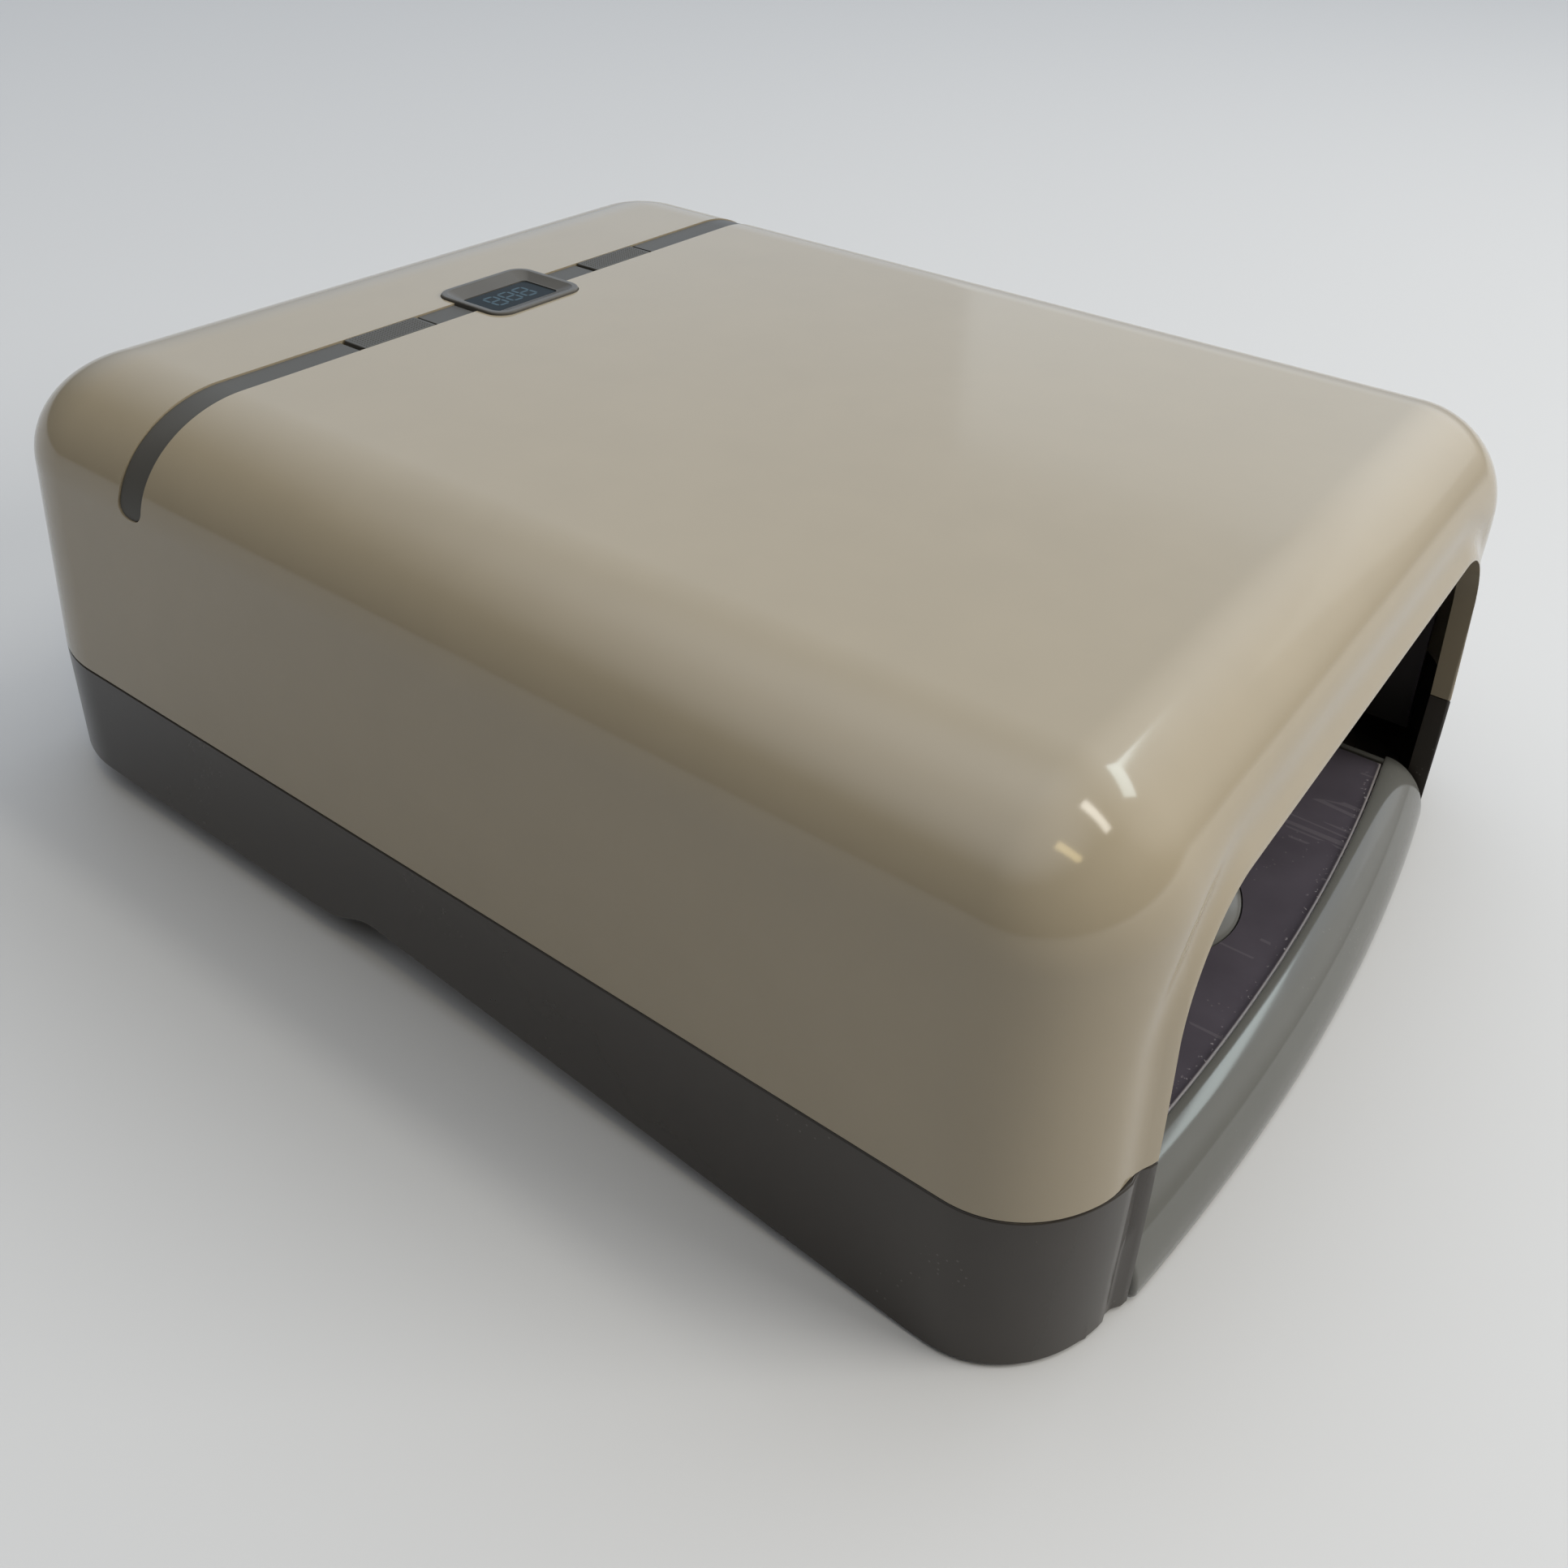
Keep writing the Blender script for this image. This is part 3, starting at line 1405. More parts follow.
@dataclass
class Display:
    """Bezel, window and the faint digits behind it."""

    form: CasingForm
    corner: float = 5.0 * MM
    rim: float = 1.3 * MM
    digit_height: float = 6.4 * MM
    digit_width: float = 3.5 * MM
    digit_pitch: float = 5.1 * MM
    digit_shift: float = -0.2 * MM
    segment: float = 0.75 * MM
    rim_edge: float = 0.45 * MM

    def __post_init__(self) -> None:
        """Reads places from the frame."""
        self.low, self.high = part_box("display_bezel")
        self.glass_low, self.glass_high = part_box("display_window")
        self.centre = (0.0, (self.low.y + self.high.y) / 2)
        self.size = (self.high.x - self.low.x, self.high.y - self.low.y)
        self.glass = (self.glass_high.x - self.glass_low.x, self.glass_high.y - self.glass_low.y)

    def hole_cutter(self) -> bpy.types.Object:
        """The hole in the shell for the bezel.

        Returns:
            The cutter.
        """
        size = (self.size[0] + 0.4 * MM, self.size[1] + 0.4 * MM)
        span = (self.low.z - 2 * MM, self.high.z + 3 * MM)
        return pad("bezel_hole", Plane.XY, size, self.centre, span, self.corner + 0.2 * MM, 0.1 * MM, 12)

    def _bezel(self) -> bpy.types.Object:
        """The raised rim with its sloping inner walls.

        Returns:
            The closed ring.
        """
        width, depth = self.size
        top, bottom = self.high.z, self.low.z
        mouth = self.glass_high.z + 0.15 * MM
        x_glass, y_glass = ((outer - glass) / 2 - 0.25 * MM for outer, glass in zip(self.size, self.glass))
        rim, edge = self.rim + 0.05 * MM, self.rim_edge
        arc = quarter(5)
        even = [(0.0, bottom), (0.0, top - edge)]
        even += [(edge * (1 - math.cos(a)), top - edge * (1 - math.sin(a))) for a in arc[1:]]
        even += [(rim + edge * math.sin(a), top - edge * (1 - math.cos(a))) for a in arc[:4]]
        rows = [(inset, inset, z) for inset, z in even]
        rows += [(x_glass - 0.5 * MM, y_glass - 0.5 * MM, mouth + 0.1 * MM)]
        rows += [(x_glass, y_glass, mouth), (x_glass, y_glass, bottom)]
        loops = []
        for x_in, y_in, z in rows:
            radius = max(self.corner - min(x_in, y_in) * 0.85, 0.8 * MM)
            outline = rounded(width - 2 * x_in, depth - 2 * y_in, radius, self.centre, 12)
            loops.append(lay(outline, Plane.XY, z))
        return loft("bezel", loops, ring=True)

    def _segment(self, x: float, y: float, upright: bool, length: float, z: float) -> bpy.types.Object:
        """One bar of a digit, with pointed ends.

        Args:
            x: Its middle across.
            y: Its middle in depth.
            upright: True for the side bars.
            length: Its length.
            z: The height of the glass.

        Returns:
            The thin bar.
        """
        half, point = length / 2, self.segment / 2
        end = half - point
        near = [[-half, 0], [-end, -point], [end, -point]]
        outline = np.array([*near, [half, 0], [end, point], [-end, point]])
        if upright:
            outline = outline[:, ::-1] * np.array([1, -1])
        outline = outline + np.array([x, y])
        levels = (z - 0.05 * MM, z + 0.02 * MM)
        return loft("segment", [lay(outline, Plane.XY, level) for level in levels])

    def _digits(self) -> bpy.types.Object:
        """Three unlit seven-bar digits.

        Returns:
            One object.
        """
        z = self.glass_high.z
        bars = []
        long_bar = self.digit_height / 2 - 0.25 * MM
        for column in (-1, 0, 1):
            cx = column * self.digit_pitch + self.digit_shift
            for level in (-1, 0, 1):
                y = self.centre[1] + level * self.digit_height / 2
                bars.append(self._segment(cx, y, False, self.digit_width - 0.5 * MM, z))
            for side in (-1, 1):
                for level in (-1, 1):
                    y = self.centre[1] + level * self.digit_height / 4
                    bars.append(self._segment(cx + side * self.digit_width / 2, y, True, long_bar, z))
        return merge(bars[0], bars[1:])

    def build(self, finishes: dict[str, bpy.types.Material]) -> list[bpy.types.Object]:
        """Makes the bezel, the window and the digits.

        Args:
            finishes: The finishes by name.

        Returns:
            The finished pieces.
        """
        bezel = self._bezel()
        dress(bezel, "housing", ["display_bezel"], finishes["bezel_plastic"])
        span = (self.glass_low.z, self.glass_high.z)
        window = pad("display_glass", Plane.XY, self.glass, self.centre, span, 0.8 * MM, 0.15 * MM)
        dress(window, "housing", ["display_window"], finishes["window_plastic"])
        digits = self._digits()
        digits.name = "display_digits"
        dress(digits, "housing", [], finishes["lcd_segments"])
        return [bezel, window, digits]


# ---------------------------------------------------------------------------- tray


@dataclass
class Tray:
    """The pull-out tray: bowed front panel, deck and rims, dark insert plate and finger guide."""

    panel_depth: float = 11.7 * MM
    bow: float = 1260.0 * MM
    nose: float = 3.0 * MM
    wall: float = 2.4 * MM
    rim: float = 1.8 * MM
    half: float = 84.0 * MM
    rim_z: float = 16.0 * MM
    deck: Pair = (12.2 * MM, 14.2 * MM)
    foot: float = 4.0 * MM
    end_round: float = 1.2 * MM

    def __post_init__(self) -> None:
        """Reads places from the frame."""
        self.low, self.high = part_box("tray_body")
        self.insert_low, self.insert_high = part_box("tray_insert")
        self.guide_low, self.guide_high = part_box("finger_guide")

    def _panel_loop(self, x: float, inward: float, bottom: float, end: float) -> Loop:
        """One cross-section of the front panel.

        Args:
            x: Its place across.
            inward: How far it is moved in, for the hollow.
            bottom: Its lower edge.
            end: How far the rounded end draws it in.

        Returns:
            The section's loop.
        """
        rear = self.low.y + self.panel_depth + x * x / self.bow - inward - end
        top = self.high.z - 0.6 * MM * (x / self.high.x) ** 2 - inward - end
        depth = self.panel_depth - 2 * inward - 2 * end
        soft = 0.5 * MM if inward == 0 else 0.0
        points = [[x, rear, bottom + end], [x, rear, top - soft]]
        points += [[x, rear - 0.3 * soft, top - 0.3 * soft], [x, rear - soft, top]]
        for angle in quarter(24)[1:]:
            y = rear - soft - (depth - soft) * math.sin(angle)
            points.append([x, y, self.nose + (top - self.nose) * math.cos(angle)])
        front = rear - depth
        points += [[x, front + 0.15 * MM, bottom + 0.8 * MM + end], [x, front + 0.7 * MM, bottom + end]]
        return np.array(points)

    def _panel(self) -> bpy.types.Object:
        """The hollow front panel.

        Returns:
            The closed panel.
        """
        half = self.high.x
        bottom = self.low.z
        flat, end = half - self.end_round, self.end_round
        ends = [(flat + end * math.cos(a), end * (1 - math.sin(a))) for a in quarter(4)]
        stations = [(-x, draw) for x, draw in ends]
        stations += [(x, 0.0) for x in np.linspace(-flat, flat, 80)[1:-1]]
        stations += list(reversed(ends))
        panel = loft("tray_panel", [self._panel_loop(x, 0.0, bottom, draw) for x, draw in stations])
        inside = np.linspace(-half + self.wall, half - self.wall, 60)
        hollow = loft("panel_hollow", [self._panel_loop(x, self.wall, bottom - 2 * MM, 0.0) for x in inside])
        return combine(panel, [hollow])

    def _plate(
        self,
        name: str,
        half: float,
        front: float,
        rear: float,
        span: Pair,
        edge: float,
    ) -> bpy.types.Object:
        """A flat plate whose front edge follows the panel's bow.

        Args:
            name: The object's name.
            half: Half its width.
            front: Its front edge at the middle.
            rear: Its rear edge.
            span: Its lower and upper faces.
            edge: The round on its upper edge.

        Returns:
            The closed plate.
        """
        loops = []
        rows = [(0.0, span[0])]
        rows += [(edge * (1 - math.cos(a)), span[1] - edge * (1 - math.sin(a))) for a in quarter(4)]
        for inset, z in rows:
            x = np.linspace(-half + inset, half - inset, 80)
            bowed = np.column_stack([x, front + inset + x * x / self.bow])
            back = np.array([[half - inset, rear - inset], [-half + inset, rear - inset]])
            loops.append(lay(np.vstack([bowed, back]), Plane.XY, z))
        return loft(name, loops)

    def _body(self) -> bpy.types.Object:
        """Panel, deck, side rims and rear wall in one.

        Returns:
            The closed body.
        """
        join_y = self.low.y + self.panel_depth
        body = self._panel()
        body.name = "tray"
        deck = self._plate("deck", self.half, join_y - self.wall / 2, self.high.y, self.deck, 0.1 * MM)
        parts = [deck]
        start = join_y + 4 * MM
        size = (self.rim, self.high.y - start)
        for side in (-1, 1):
            middle = (side * (self.half - self.rim / 2), (start + self.high.y) / 2)
            parts.append(pad("rim", Plane.XY, size, middle, (self.foot, self.rim_z), 0.3 * MM, 0.5 * MM))
        size = (2 * self.half, self.rim)
        middle = (0, self.high.y - self.rim / 2)
        span = (self.foot, self.rim_z - 0.2 * MM)
        parts.append(pad("back", Plane.XY, size, middle, span, 0.3 * MM, 0.45 * MM))
        return combine(body, parts, join=True)

    def _oval(self) -> tuple[Pair, Pair, np.ndarray]:
        """The guide's outline.

        Returns:
            Its middle, its half sizes and a unit ring of points.
        """
        low, high = self.guide_low, self.guide_high
        turn = np.linspace(0, 2 * math.pi, 96, endpoint=False)
        ring = np.column_stack([np.cos(turn), np.sin(turn)])
        centre = ((low.x + high.x) / 2, (low.y + high.y) / 2)
        return centre, ((high.x - low.x) / 2, (high.y - low.y) / 2), ring

    def _insert(self) -> bpy.types.Object:
        """The dark plate with its hole for the guide.

        Returns:
            The closed plate.
        """
        low, high = self.insert_low, self.insert_high
        plate = self._plate("tray_plate", high.x, low.y, high.y, (low.z, high.z), 0.25 * MM)
        centre, half, ring = self._oval()
        oval = ring * (np.array(half) + GAP) + centre
        levels = (low.z - 2 * MM, high.z + 2 * MM)
        return combine(plate, [loft("oval", [lay(oval, Plane.XY, level) for level in levels])])

    def _guide(self) -> bpy.types.Object:
        """The low oval dome that sets where the fingers lie.

        Returns:
            The closed dome.
        """
        centre, half, ring = self._oval()
        rise, sunk = self.guide_high.z - self.insert_high.z, 0.2 * MM
        loops = [lay(ring * half + centre, Plane.XY, self.guide_low.z)]
        for angle in quarter(32):
            share = max(math.cos(angle), 1e-4)
            z = self.insert_high.z + rise * math.sin(angle) - sunk * (1 - math.sin(angle))
            loops.append(lay(ring * half * share + centre, Plane.XY, z))
        return loft("guide_dome", loops)

    def build(self, finishes: dict[str, bpy.types.Material], effects: Effects) -> list[bpy.types.Object]:
        """Makes the tray's pieces.

        Args:
            finishes: The finishes by name.
            effects: The shared node groups.

        Returns:
            The finished pieces.
        """
        plate_finish = InsertFinish(
            "insert_film", (0.07, 0.062, 0.076), 0.07, drift=0.12, dust=0.08, wave=9.0, bump=0.05,
            front=float(self.insert_low.y), bow=self.bow,
        ).build(effects)
        gloss = finishes["tray_gloss"]
        return [
            dress(self._body(), "tray", ["tray_body"], gloss),
            dress(self._insert(), "tray", ["tray_insert"], plate_finish),
            dress(self._guide(), "tray", ["finger_guide"], gloss),
        ]


# ---------------------------------------------------------------------------- lamp chamber


@dataclass
class TubePlace:
    """Where one twin-leg tube sits: its node and its tilt about Y."""

    node: str
    tilt: float


@dataclass
class TubeBank:
    """The four UV tubes, each a glass bend with its two legs."""

    leg_radius: float = 6.0 * MM
    spacing: float = 7.5 * MM
    places: tuple[TubePlace, ...] = (
        TubePlace("uv_tube_1", -50.0),
        TubePlace("uv_tube_2", 0.0),
        TubePlace("uv_tube_3", 0.0),
        TubePlace("uv_tube_4", 50.0),
    )

    def _path(self, place: TubePlace) -> list[Vector]:
        """The middle line: up one leg, round the bend and down the other.

        Args:
            place: The tube.

        Returns:
            The line's points.
        """
        low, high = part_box(place.node)
        centre = (low + high) / 2
        turn = Matrix.Rotation(math.radians(place.tilt), 3, "Y")
        bend = low.y + self.leg_radius + self.spacing
        leg = [high.y, *np.linspace(high.y - 2 * MM, bend, 8)]
        arc = [i / 16 * math.pi for i in range(1, 16)]
        flat = [(-self.spacing, y) for y in leg]
        flat += [(-self.spacing * math.cos(a), bend - self.spacing * math.sin(a)) for a in arc]
        flat += [(self.spacing, y) for y in reversed(leg)]
        return [turn @ Vector((x, 0, 0)) + Vector((centre.x, y, centre.z)) for x, y in flat]

    def build(self, material: bpy.types.Material) -> list[bpy.types.Object]:
        """Makes the tubes.

        Args:
            material: The glass.

        Returns:
            The finished pieces.
        """
        recipe = tube_recipe("glass_bend", material, 28)
        made = []
        for place in self.places:
            seed = seed_points(f"{place.node}_glass", self._path(place), chain=True)
            tube = recipe.run(seed, {"Radius": self.leg_radius})
            made.append(dress(tube, "housing", [place.node], material))
        return made


@dataclass
class SensorLens:
    """The domed lens of the hand sensor in the chamber's rear bulkhead."""

    rim_share: float = 0.35
    dome_share: float = 0.9

    def build(self, material: bpy.types.Material) -> bpy.types.Object:
        """Makes the lens.

        Args:
            material: Its finish.

        Returns:
            The finished piece.
        """
        low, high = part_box("hand_sensor")
        radius = (high.x - low.x) / 2
        depth = high.y - low.y
        base = high.y - (self.rim_share + 0.05) * depth
        rise = base - low.y
        profile = [(radius, high.y), (radius, high.y - self.rim_share * depth)]
        for angle in quarter(12)[1:]:
            profile.append((radius * self.dome_share * math.cos(angle), base - rise * math.sin(angle)))
        middle = Vector(((low.x + high.x) / 2, 0, (low.z + high.z) / 2))
        lens = turned("sensor_lens", profile, middle, Plane.XZ)
        return dress(lens, "housing", ["hand_sensor"], material)


# ---------------------------------------------------------------------------- rear fittings


@dataclass
class RearPanel:
    """The mains inlet and the rocker switch in the lower casing's rear wall."""

    form: CasingForm
    flange: float = 1.3 * MM
    fit: float = 0.5 * MM
    inlet_body: Pair = (22 * MM, 12 * MM)
    mouth_radius: float = 4.2 * MM
    mouth_depth: float = 11 * MM
    waist: Pair = (8 * MM, 6.6 * MM)
    pin_radius: float = 1.2 * MM
    pin_spacing: float = 4.3 * MM
    pin_setback: float = 2.5 * MM
    switch_body: Pair = (13.6 * MM, 20 * MM)
    well: Pair = (10.2 * MM, 18 * MM)
    rocker_width: float = 9.6 * MM
    rocker_half: float = 8.0 * MM
    rocker_reach: float = 5.3 * MM
    rocker_dip: float = 1.1 * MM
    rocker_edge: float = 0.3 * MM

    def __post_init__(self) -> None:
        """Reads places from the frame."""
        self.inlet_low, self.inlet_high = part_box("power_inlet")
        self.switch_low, self.switch_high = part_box("switch_housing")
        self.rocker_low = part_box("switch_rocker")[0]

    @staticmethod
    def _middle(low: Vector, high: Vector) -> Pair:
        """The middle of a box seen from the rear."""
        return (low.x + high.x) / 2, (low.z + high.z) / 2

    def hole_cutters(self) -> list[bpy.types.Object]:
        """Holes through the rear wall for both fittings.

        Returns:
            The cutters.
        """
        span = (self.form.rear - 9 * MM, self.form.rear + 5 * MM)
        inlet = self._middle(self.inlet_low, self.inlet_high)
        switch = self._middle(self.switch_low, self.switch_high)
        holes = (
            ("inlet_hole", self.inlet_body, inlet, 1 * MM),
            ("switch_hole", self.switch_body, switch, 0.5 * MM),
        )
        return [
            pad(name, Plane.XZ, (body[0] + self.fit, body[1] + self.fit), middle, span, radius, 0.1 * MM)
            for name, body, middle, radius in holes
        ]

    def _fitting(
        self,
        name: str,
        low: Vector,
        high: Vector,
        body: Pair,
        radii: Triple,
    ) -> bpy.types.Object:
        """A flange on the wall with a body behind it.

        Args:
            name: The piece's name.
            low: The fitting's lowest corner.
            high: Its highest corner.
            body: The body's width and height.
            radii: The flange's corner radius, the body's and the body's edge.

        Returns:
            The closed piece.
        """
        middle = self._middle(low, high)
        size = (high.x - low.x, high.z - low.z)
        plate = pad(name, Plane.XZ, size, middle, (high.y - self.flange, high.y), radii[0], 0.4 * MM)
        span = (low.y, high.y - 0.5 * MM)
        block = pad(f"{name}_body", Plane.XZ, body, middle, span, radii[1], radii[2])
        return combine(plate, [block], join=True)

    def _inlet(self) -> bpy.types.Object:
        """The two-pin inlet: flange, body and figure-eight mouth.

        Returns:
            The closed piece.
        """
        low, high = self.inlet_low, self.inlet_high
        x, z = self._middle(low, high)
        inlet = self._fitting("inlet", low, high, self.inlet_body, (3 * MM, 0.8 * MM, 0.2 * MM))
        radius, floor = self.mouth_radius, high.y - self.mouth_depth
        profile = [(radius, floor), (radius, high.y - 0.3 * MM), (radius + 0.4 * MM, high.y + 1 * MM)]
        cutters = []
        for side in (-1, 1):
            place = Vector((x + side * self.pin_spacing, 0, z))
            cutters.append(turned("mouth", profile, place, Plane.XZ, 40))
        span = (floor + 0.1 * MM, high.y + 1 * MM)
        cutters.append(pad("mouth_waist", Plane.XZ, self.waist, (x, z), span, 0.5 * MM, 0.1 * MM))
        return combine(inlet, cutters)

    def _pins(self) -> bpy.types.Object:
        """The inlet's two pins.

        Returns:
            One object that holds both.
        """
        high = self.inlet_high
        x, z = self._middle(self.inlet_low, high)
        radius = self.pin_radius
        root, tip = high.y - self.mouth_depth - 1 * MM, high.y - self.pin_setback
        profile = [(radius, root), (radius, tip - 0.8 * MM)]
        profile += [(radius * 0.6, tip - 0.15 * MM), (0.1 * MM, tip)]
        places = [Vector((x + side * self.pin_spacing, 0, z)) for side in (-1, 1)]
        first, second = (turned("inlet_pins", profile, place, Plane.XZ, 20) for place in places)
        return merge(first, [second])

    def _switch(self) -> bpy.types.Object:
        """The switch frame with its well.

        Returns:
            The closed piece.
        """
        low, high = self.switch_low, self.switch_high
        radii = (2 * MM, 0.6 * MM, 0.2 * MM)
        switch = self._fitting("switch_frame", low, high, self.switch_body, radii)
        span = (self.rocker_low.y - 1 * MM, high.y + 1 * MM)
        well = pad("well", Plane.XZ, self.well, self._middle(low, high), span, 0.5 * MM, 0.1 * MM)
        return combine(switch, [well])

    def _rocker_outline(self) -> np.ndarray:
        """The rocker from its side: a root, two rounded ends and a shallow V between them.

        Returns:
            Points as (reach from the pivot, place along the rocker).
        """
        reach, half = self.rocker_reach, self.rocker_half
        upper = [(reach - 0.1 * MM, half - 0.35 * MM), (reach - 0.5 * MM, half)]
        upper += [(1 * MM, half), (-5 * MM, 3.5 * MM)]
        lower = [(depth, -place) for depth, place in reversed(upper)]
        face = []
        for share in np.linspace(-1, 1, 25):
            dip = self.rocker_dip * (1 - abs(share)) ** 1.4
            face.append((reach - 0.05 * MM - dip, share * (half - 0.7 * MM)))
        return np.array([*lower, *face, *upper])

    def _rocker(self) -> bpy.types.Object:
        """The rocker, tipped to its off side.

        Returns:
            The closed rocker.
        """
        joint = next(j for j in frame["joints"] if j["child"] == "power_rocker")
        pivot = Vector(joint["pos_m"])
        tilt = -math.radians(joint["range_deg"][1] / 2)
        turn = np.array([[math.cos(tilt), -math.sin(tilt)], [math.sin(tilt), math.cos(tilt)]])
        side, edge = self.rocker_width / 2, self.rocker_edge
        near_side = [(edge, side), (0.3 * edge, side - 0.3 * edge), (0.0, side - edge)]
        stations = [(inset, -x) for inset, x in near_side] + near_side[::-1]
        loops = []
        for inset, x in stations:
            shrunk = self._rocker_outline() * (1 - inset / self.rocker_half)
            loops.append(lay(shrunk @ turn.T + np.array([pivot.y, pivot.z]), Plane.YZ, pivot.x + x))
        return loft("rocker", loops)

    def build(self, finishes: dict[str, bpy.types.Material]) -> list[bpy.types.Object]:
        """Makes inlet, pins, switch frame and rocker.

        Args:
            finishes: The finishes by name.

        Returns:
            The finished pieces.
        """
        black = finishes["black_plastic"]
        return [
            dress(self._inlet(), "housing", ["power_inlet"], black),
            dress(self._switch(), "housing", ["switch_housing"], black),
            dress(self._rocker(), "power_rocker", ["switch_rocker"], black),
            dress(self._pins(), "housing", [], finishes["steel"]),
        ]


# ---------------------------------------------------------------------------- feet and screws


@dataclass
class Feet:
    """Rubber feet, and the casing screws seen from below."""

    pad_margin: float = 2.0 * MM
    pad_top: float = 6.0 * MM
    screw_well: float = 3.4 * MM
    screw_boss: float = 4.2 * MM
    screw_boss_top: float = 30.0 * MM
    screw_seat: float = 2.7 * MM
    cross_width: float = 0.75 * MM
    cross_length: float = 3.4 * MM

    @staticmethod
    def _centre(node: str) -> tuple[Vector, float, Vector, Vector]:
        """Middle at floor height, radius and box corners of a round upright node."""
        low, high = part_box(node)
        middle = Vector(((low.x + high.x) / 2, (low.y + high.y) / 2, 0))
        return middle, (high.x - low.x) / 2, low, high

    @staticmethod
    def _screw_names(side: str) -> list[str]:
        """The nodes of one side's casing screws."""
        return [f"casing_screw_{end}_{side}" for end in ("front", "rear")]

    def pads(self, casing: LowerCasing) -> list[bpy.types.Object]:
        """Bosses that hold the front feet and the casing screws.

        Args:
            casing: The casing they stand on.

        Returns:
            The bosses.
        """
        made = []
        for side in ("left", "right"):
            centre, radius, _, _ = self._centre(f"front_foot_{side}")
            start = float(casing.skirt(np.array([centre.y]))[0]) + 0.05 * MM
            reach = radius + self.pad_margin
            made.append(turned("foot_boss", [(reach, start), (reach, self.pad_top)], centre))
            for name in self._screw_names(side):
                centre = self._centre(name)[0]
                start = float(casing.skirt(np.array([centre.y - 4 * MM]))[0]) + 0.4 * MM
                profile = [(self.screw_boss, start), (self.screw_boss, self.screw_boss_top)]
                made.append(turned("screw_boss", profile, centre))
        return made

    def pocket_cutters(self) -> list[bpy.types.Object]:
        """Pockets for the front feet and wells for the screws.

        Returns:
            The cutters.
        """
        below = -3 * MM
        made = []
        for side in ("left", "right"):
            centre, radius, _, high = self._centre(f"front_foot_{side}")
            profile = [(radius + GAP, below), (radius + GAP, high.z + GAP)]
            made.append(turned("foot_pocket", profile, centre, sides=48))
            for name in self._screw_names(side):
                centre, _, low, _ = self._centre(name)
                profile = [(self.screw_well, below), (self.screw_well, low.z + self.screw_seat)]
                made.append(turned("screw_hole", profile, centre))
        return made

    def _rear_foot(self, node: str) -> bpy.types.Object:
        """One turned rear foot with a dished sole.

        Args:
            node: The frame node it stands for.

        Returns:
            The closed foot.
        """
        centre, radius, _, high = self._centre(node)
        sole, stem, shelf = radius - 1.0 * MM, 2.4 * MM, 7.7 * MM
        dish = [(0.0, 0.6 * MM), (sole - 3.2 * MM, 0.6 * MM)]
        ground = [(sole - 2.4 * MM, 0.0), (sole - 0.5 * MM, 0.0), (sole, 0.5 * MM)]
        flank = [(radius - 0.3 * MM, 6.6 * MM), (radius - 0.5 * MM, 7.4 * MM), (radius - 1.2 * MM, shelf)]
        plug = [(stem, shelf), (stem, 12.6 * MM), (stem - 0.8 * MM, high.z)]
        return turned(f"{node}_rubber", [*dish, *ground, *flank, *plug], centre, sides=48)

    def _front_foot(self, node: str) -> bpy.types.Object:
        """One low front foot with a dished sole.

        Args:
            node: The frame node it stands for.

        Returns:
            The closed foot.
        """
        centre, radius, _, high = self._centre(node)
        dish = [(0.0, 0.4 * MM), (radius - 2.6 * MM, 0.4 * MM)]
        ground = [(radius - 2.0 * MM, 0.0), (radius - 0.4 * MM, 0.0)]
        flank = [(radius, 0.4 * MM), (radius, high.z - 0.3 * MM), (radius - 0.3 * MM, high.z)]
        return turned(f"{node}_rubber", [*dish, *ground, *flank], centre, sides=48)

    def _screws(self, material: bpy.types.Material) -> bpy.types.Object:
        """The four casing screws with cross recesses.

        Args:
            material: Their finish.

        Returns:
            One piece that holds all four.
        """
        names = [f"casing_screw_{end}_{side}" for end in ("front", "rear") for side in ("left", "right")]
        _, head, low, high = self._centre(names[0])
        shank, under, length = 1.45 * MM, 2.4 * MM, high.z - low.z
        crown = [(0.0, 0.0), (head * 0.7, 0.0), (head * 0.93, 0.35 * MM), (head, 1.0 * MM), (head, under)]
        shaft = [(shank, under), (shank, length - 2 * MM), (0.3 * MM, length)]
        screw = turned("screw", [*crown, *shaft], Vector((0, 0, 0)), sides=24)
        bar = (self.cross_width, self.cross_length)
        blades = [
            pad("blade", Plane.XY, size, (0, 0), (-1 * MM, 1.3 * MM), 0.2 * MM, 0.05 * MM, 3)
            for size in (bar, bar[::-1])
        ]
        combine(screw, blades)
        points = []
        for name in names:
            centre, _, low, _ = self._centre(name)
            points.append((centre.x, centre.y, low.z))
        recipe = scatter_recipe("casing_screw_row", screw, material)
        row = recipe.run(seed_points("casing_screws", points), {"Scale": 1.0})
        bpy.data.objects.remove(screw)
        return dress(row, "housing", names, material)

    def build(self, finishes: dict[str, bpy.types.Material]) -> list[bpy.types.Object]:
        """Makes feet and screws.

        Args:
            finishes: The finishes by name.

        Returns:
            The finished pieces.
        """
        made = [self._screws(finishes["steel"])]
        rubber = finishes["rubber"]
        for side in ("left", "right"):
            rear, front = f"rear_foot_{side}", f"front_foot_{side}"
            made.append(dress(self._rear_foot(rear), "housing", [rear], rubber))
            made.append(dress(self._front_foot(front), "housing", [front], rubber))
        return made


# ---------------------------------------------------------------------------- kept frame nodes


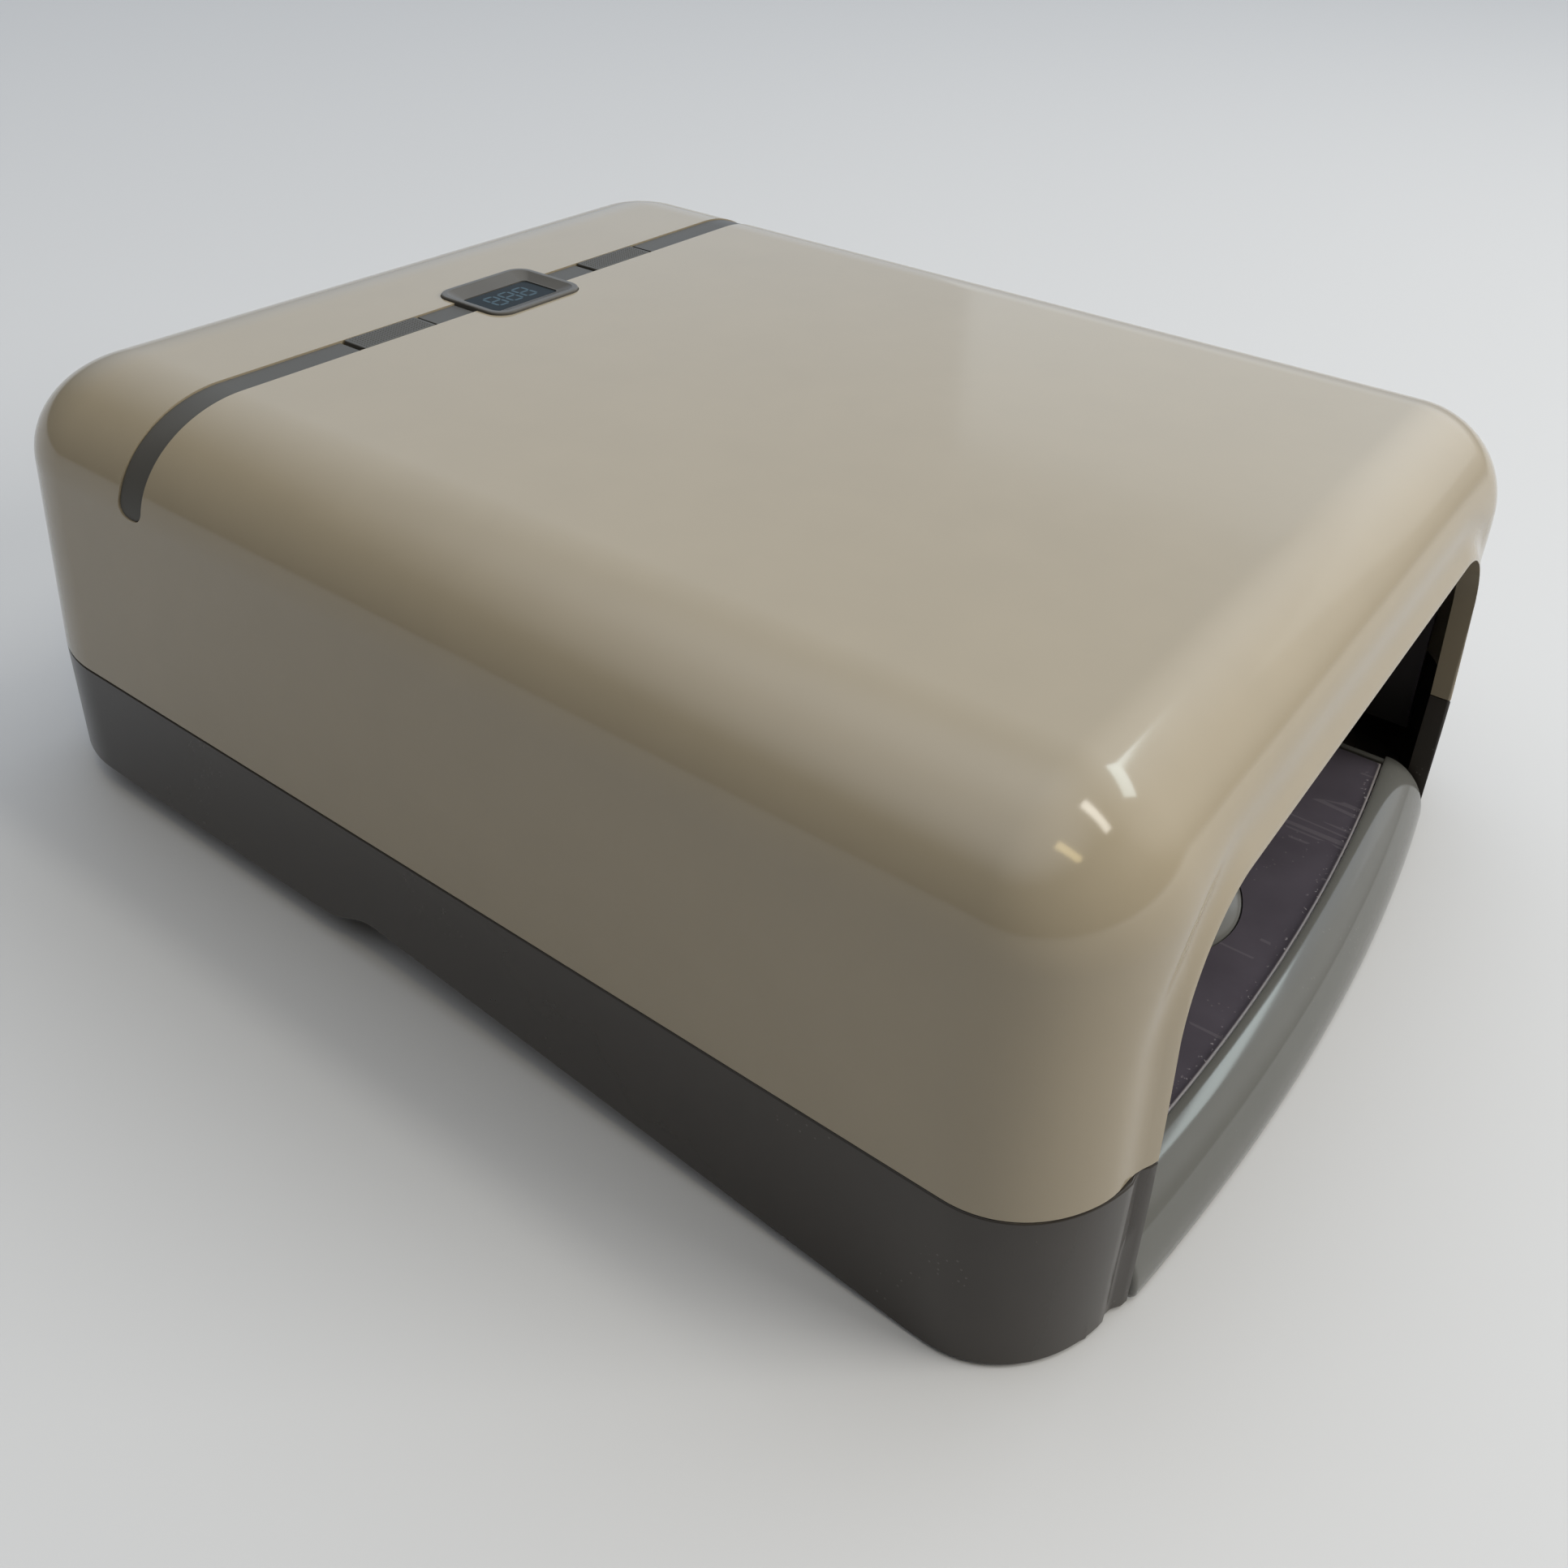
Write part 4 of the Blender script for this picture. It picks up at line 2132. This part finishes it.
def dress_kept_nodes(finishes: dict[str, bpy.types.Material]) -> None:
    """Gives every frame node that still shows the finish of its material slot.

    Args:
        finishes: The finishes by name.
    """
    chosen = {row["node"]: row["material_slot"] for row in frame["record"]["subparts"]}
    chosen.update({f"side_liner_{side}": "liner_satin" for side in ("left", "right")})
    for name, node in frame["nodes"].items():
        if node.hide_render:
            continue
        node.data.materials.clear()
        node.data.materials.append(finishes[chosen[name]])
        LOG.info("%s kept, finish %s", name, chosen[name])


# ---------------------------------------------------------------------------- studio


@dataclass(frozen=True)
class PanelLight:
    """A soft rectangular light, in metres and watts."""

    name: str
    place: Triple
    aim: Triple
    size: Pair
    power: float
    colour: Triple
    in_gloss: bool = True
    in_diffuse: bool = True

    def hang(self) -> bpy.types.Object:
        """Makes the light and turns it to what it faces.

        Returns:
            The light.
        """
        data = bpy.data.lights.new(self.name, "AREA")
        data.shape = "RECTANGLE"
        data.size, data.size_y = self.size
        data.energy = self.power
        data.color = self.colour
        light = bpy.data.objects.new(self.name, data)
        bpy.context.scene.collection.objects.link(light)
        light.location = self.place
        light.rotation_mode = "QUATERNION"
        toward = Vector(self.aim) - Vector(self.place)
        light.rotation_quaternion = toward.to_track_quat("-Z", "Y")
        light.visible_glossy = self.in_gloss
        light.visible_diffuse = self.in_diffuse
        return light


@dataclass(frozen=True)
class Glow:
    """A bright patch of the room: where it lies, the cosines where it starts and is full, its colour."""

    aim: Triple
    span: Pair
    colour: Tint


PANELS = (
    PanelLight(
        "overhead", (0.5, -0.3, 1.6), (0, 0, 0.06), (1.4, 1.4), 4.0, (1.0, 0.99, 0.97), in_gloss=False
    ),
    PanelLight(
        "front_fill", (0.6, -1.65, 1.0), (0, 0, 0.06), (1.0, 0.8), 26.0, (1.0, 0.98, 0.94), in_gloss=False
    ),
    PanelLight(
        "window", (1.449, -0.688, 1.657), (-0.085, -0.13, 0.108), (0.85, 0.34), 5.4, (0.86, 1.0, 1.0),
        in_diffuse=False,
    ),
    PanelLight("far_window", (2.5, 0.0, 0.95), (0, 0, 0.95), (2.66, 0.9), 2.4, (0.9, 0.97, 1.0)),
    PanelLight("tube_lamp", (0.38, -1.0, 2.0), (0.38, -1.0, 0), (0.2, 1.0), 7.0, (1.0, 0.97, 0.88)),
    PanelLight("warm_lamp", (-0.68, -1.1, 2.0), (-0.68, -1.1, 0), (0.2, 0.9), 4.0, (1.0, 0.8, 0.4)),
)
GLOWS = (
    Glow((0.72, 0.45, 0.62), (0.5, 0.98), (0.7, 0.82, 0.98, 1.0)),
    Glow((-0.22, 0.1, 1.0), (0.68, 1.0), (1.46, 1.52, 1.6, 1.0)),
    Glow((0.76, -0.38, 0.53), (0.76, 1.0), (1.0, 1.02, 1.04, 1.0)),
)


@dataclass
class Studio:
    """Camera, pale floor and soft lights."""

    eye: Triple = (-0.267655, -0.196344, 0.24635)
    azimuth: float = -0.96190
    elevation: float = 0.46719
    roll: float = 0.04624
    lens: float = 35.034
    sensor: float = 36.0
    shift: Pair = (-0.01449, -0.18301)
    floor_half: float = 8.0
    floor_grey: float = 0.5
    room: Tint = (0.07, 0.062, 0.05, 1.0)

    def camera(self) -> bpy.types.Object:
        """Makes the camera.

        Returns:
            The camera object.
        """
        data = bpy.data.cameras.new("view")
        data.sensor_width = self.sensor
        data.lens = self.lens
        data.shift_x, data.shift_y = self.shift
        data.clip_start = 0.01
        camera = bpy.data.objects.new("view", data)
        bpy.context.scene.collection.objects.link(camera)
        level = math.cos(self.elevation)
        across, ahead = math.sin(self.azimuth) * level, math.cos(self.azimuth) * level
        back = Vector((across, -ahead, math.sin(self.elevation)))
        right = (-back).cross(Vector((0, 0, 1))).normalized()
        up = right.cross(-back)
        cos, sin = math.cos(self.roll), math.sin(self.roll)
        turn = Matrix((right * cos + up * sin, up * cos - right * sin, back)).transposed().to_4x4()
        camera.matrix_world = Matrix.Translation(Vector(self.eye)) @ turn
        bpy.context.scene.camera = camera
        return camera

    def floor(self) -> bpy.types.Object:
        """Makes the pale floor.

        Returns:
            The floor object.
        """
        half = self.floor_half
        corners = np.array([[-half, -half, 0], [half, -half, 0], [half, half, 0], [-half, half, 0]])
        floor = new_piece("floor", corners, [(0, 1, 2, 3)])
        paint = bpy.data.materials.new("floor_paint")
        paint.use_nodes = True
        surface = paint.node_tree.nodes["Principled BSDF"]
        surface.inputs["Base Color"].default_value = (*[self.floor_grey] * 3, 1.0)
        surface.inputs["Roughness"].default_value = 0.9
        surface.inputs["Specular IOR Level"].default_value = 0.1
        floor.data.materials.append(paint)
        return floor

    def _surroundings(self) -> None:
        """A room that is dim to the left and bright overhead and to the right."""
        world = bpy.data.worlds.new("surroundings")
        world.use_nodes = True
        tree = world.node_tree
        place = tree.nodes.new("ShaderNodeTexCoord").outputs["Generated"]
        light = tree.nodes.new("ShaderNodeRGB").outputs["Color"]
        light.default_value = self.room
        for glow in GLOWS:
            aim = {0: place, 1: Vector(glow.aim).normalized()}
            toward = shade(tree, "VectorMath", aim, operation="DOT_PRODUCT").outputs["Value"]
            layers = {"Factor": smooth(tree, toward, *glow.span), "A": light, "B": glow.colour}
            light = shade(tree, "Mix", layers, data_type="RGBA", blend_type="ADD").outputs["Result"]
        tree.links.new(light, tree.nodes["Background"].inputs["Color"])
        bpy.context.scene.world = world

    def build(self) -> None:
        """Sets up the view, the floor, the room and its lights."""
        self.camera()
        self.floor()
        self._surroundings()
        for panel in PANELS:
            panel.hang()
        bpy.context.scene.view_settings.view_transform = "Standard"


# ---------------------------------------------------------------------------- assembly


def main() -> None:
    """Builds the lamp, piece by piece, in the order it is put together."""
    logging.basicConfig(level=logging.INFO, format="%(message)s")
    Studio().build()
    effects = Effects()
    finishes = {finish.name: finish.build(effects) for finish in FINISHES}
    form = CasingForm()
    strip = AccentStrip(form)
    display = Display(form)
    rear = RearPanel(form)
    feet = Feet()
    Shell(form).build(strip, display, finishes["shell_gloss"])
    LowerCasing(form).build(rear, feet, finishes["casing_plastic"])
    strip.build(finishes["accent_plastic"])
    display.build(finishes)
    Tray().build(finishes, effects)
    TubeBank().build(finishes["tube_glass"])
    SensorLens().build(finishes["window_plastic"])
    rear.build(finishes)
    feet.build(finishes)
    dress_kept_nodes(finishes)


if __name__ == "__main__":
    main()
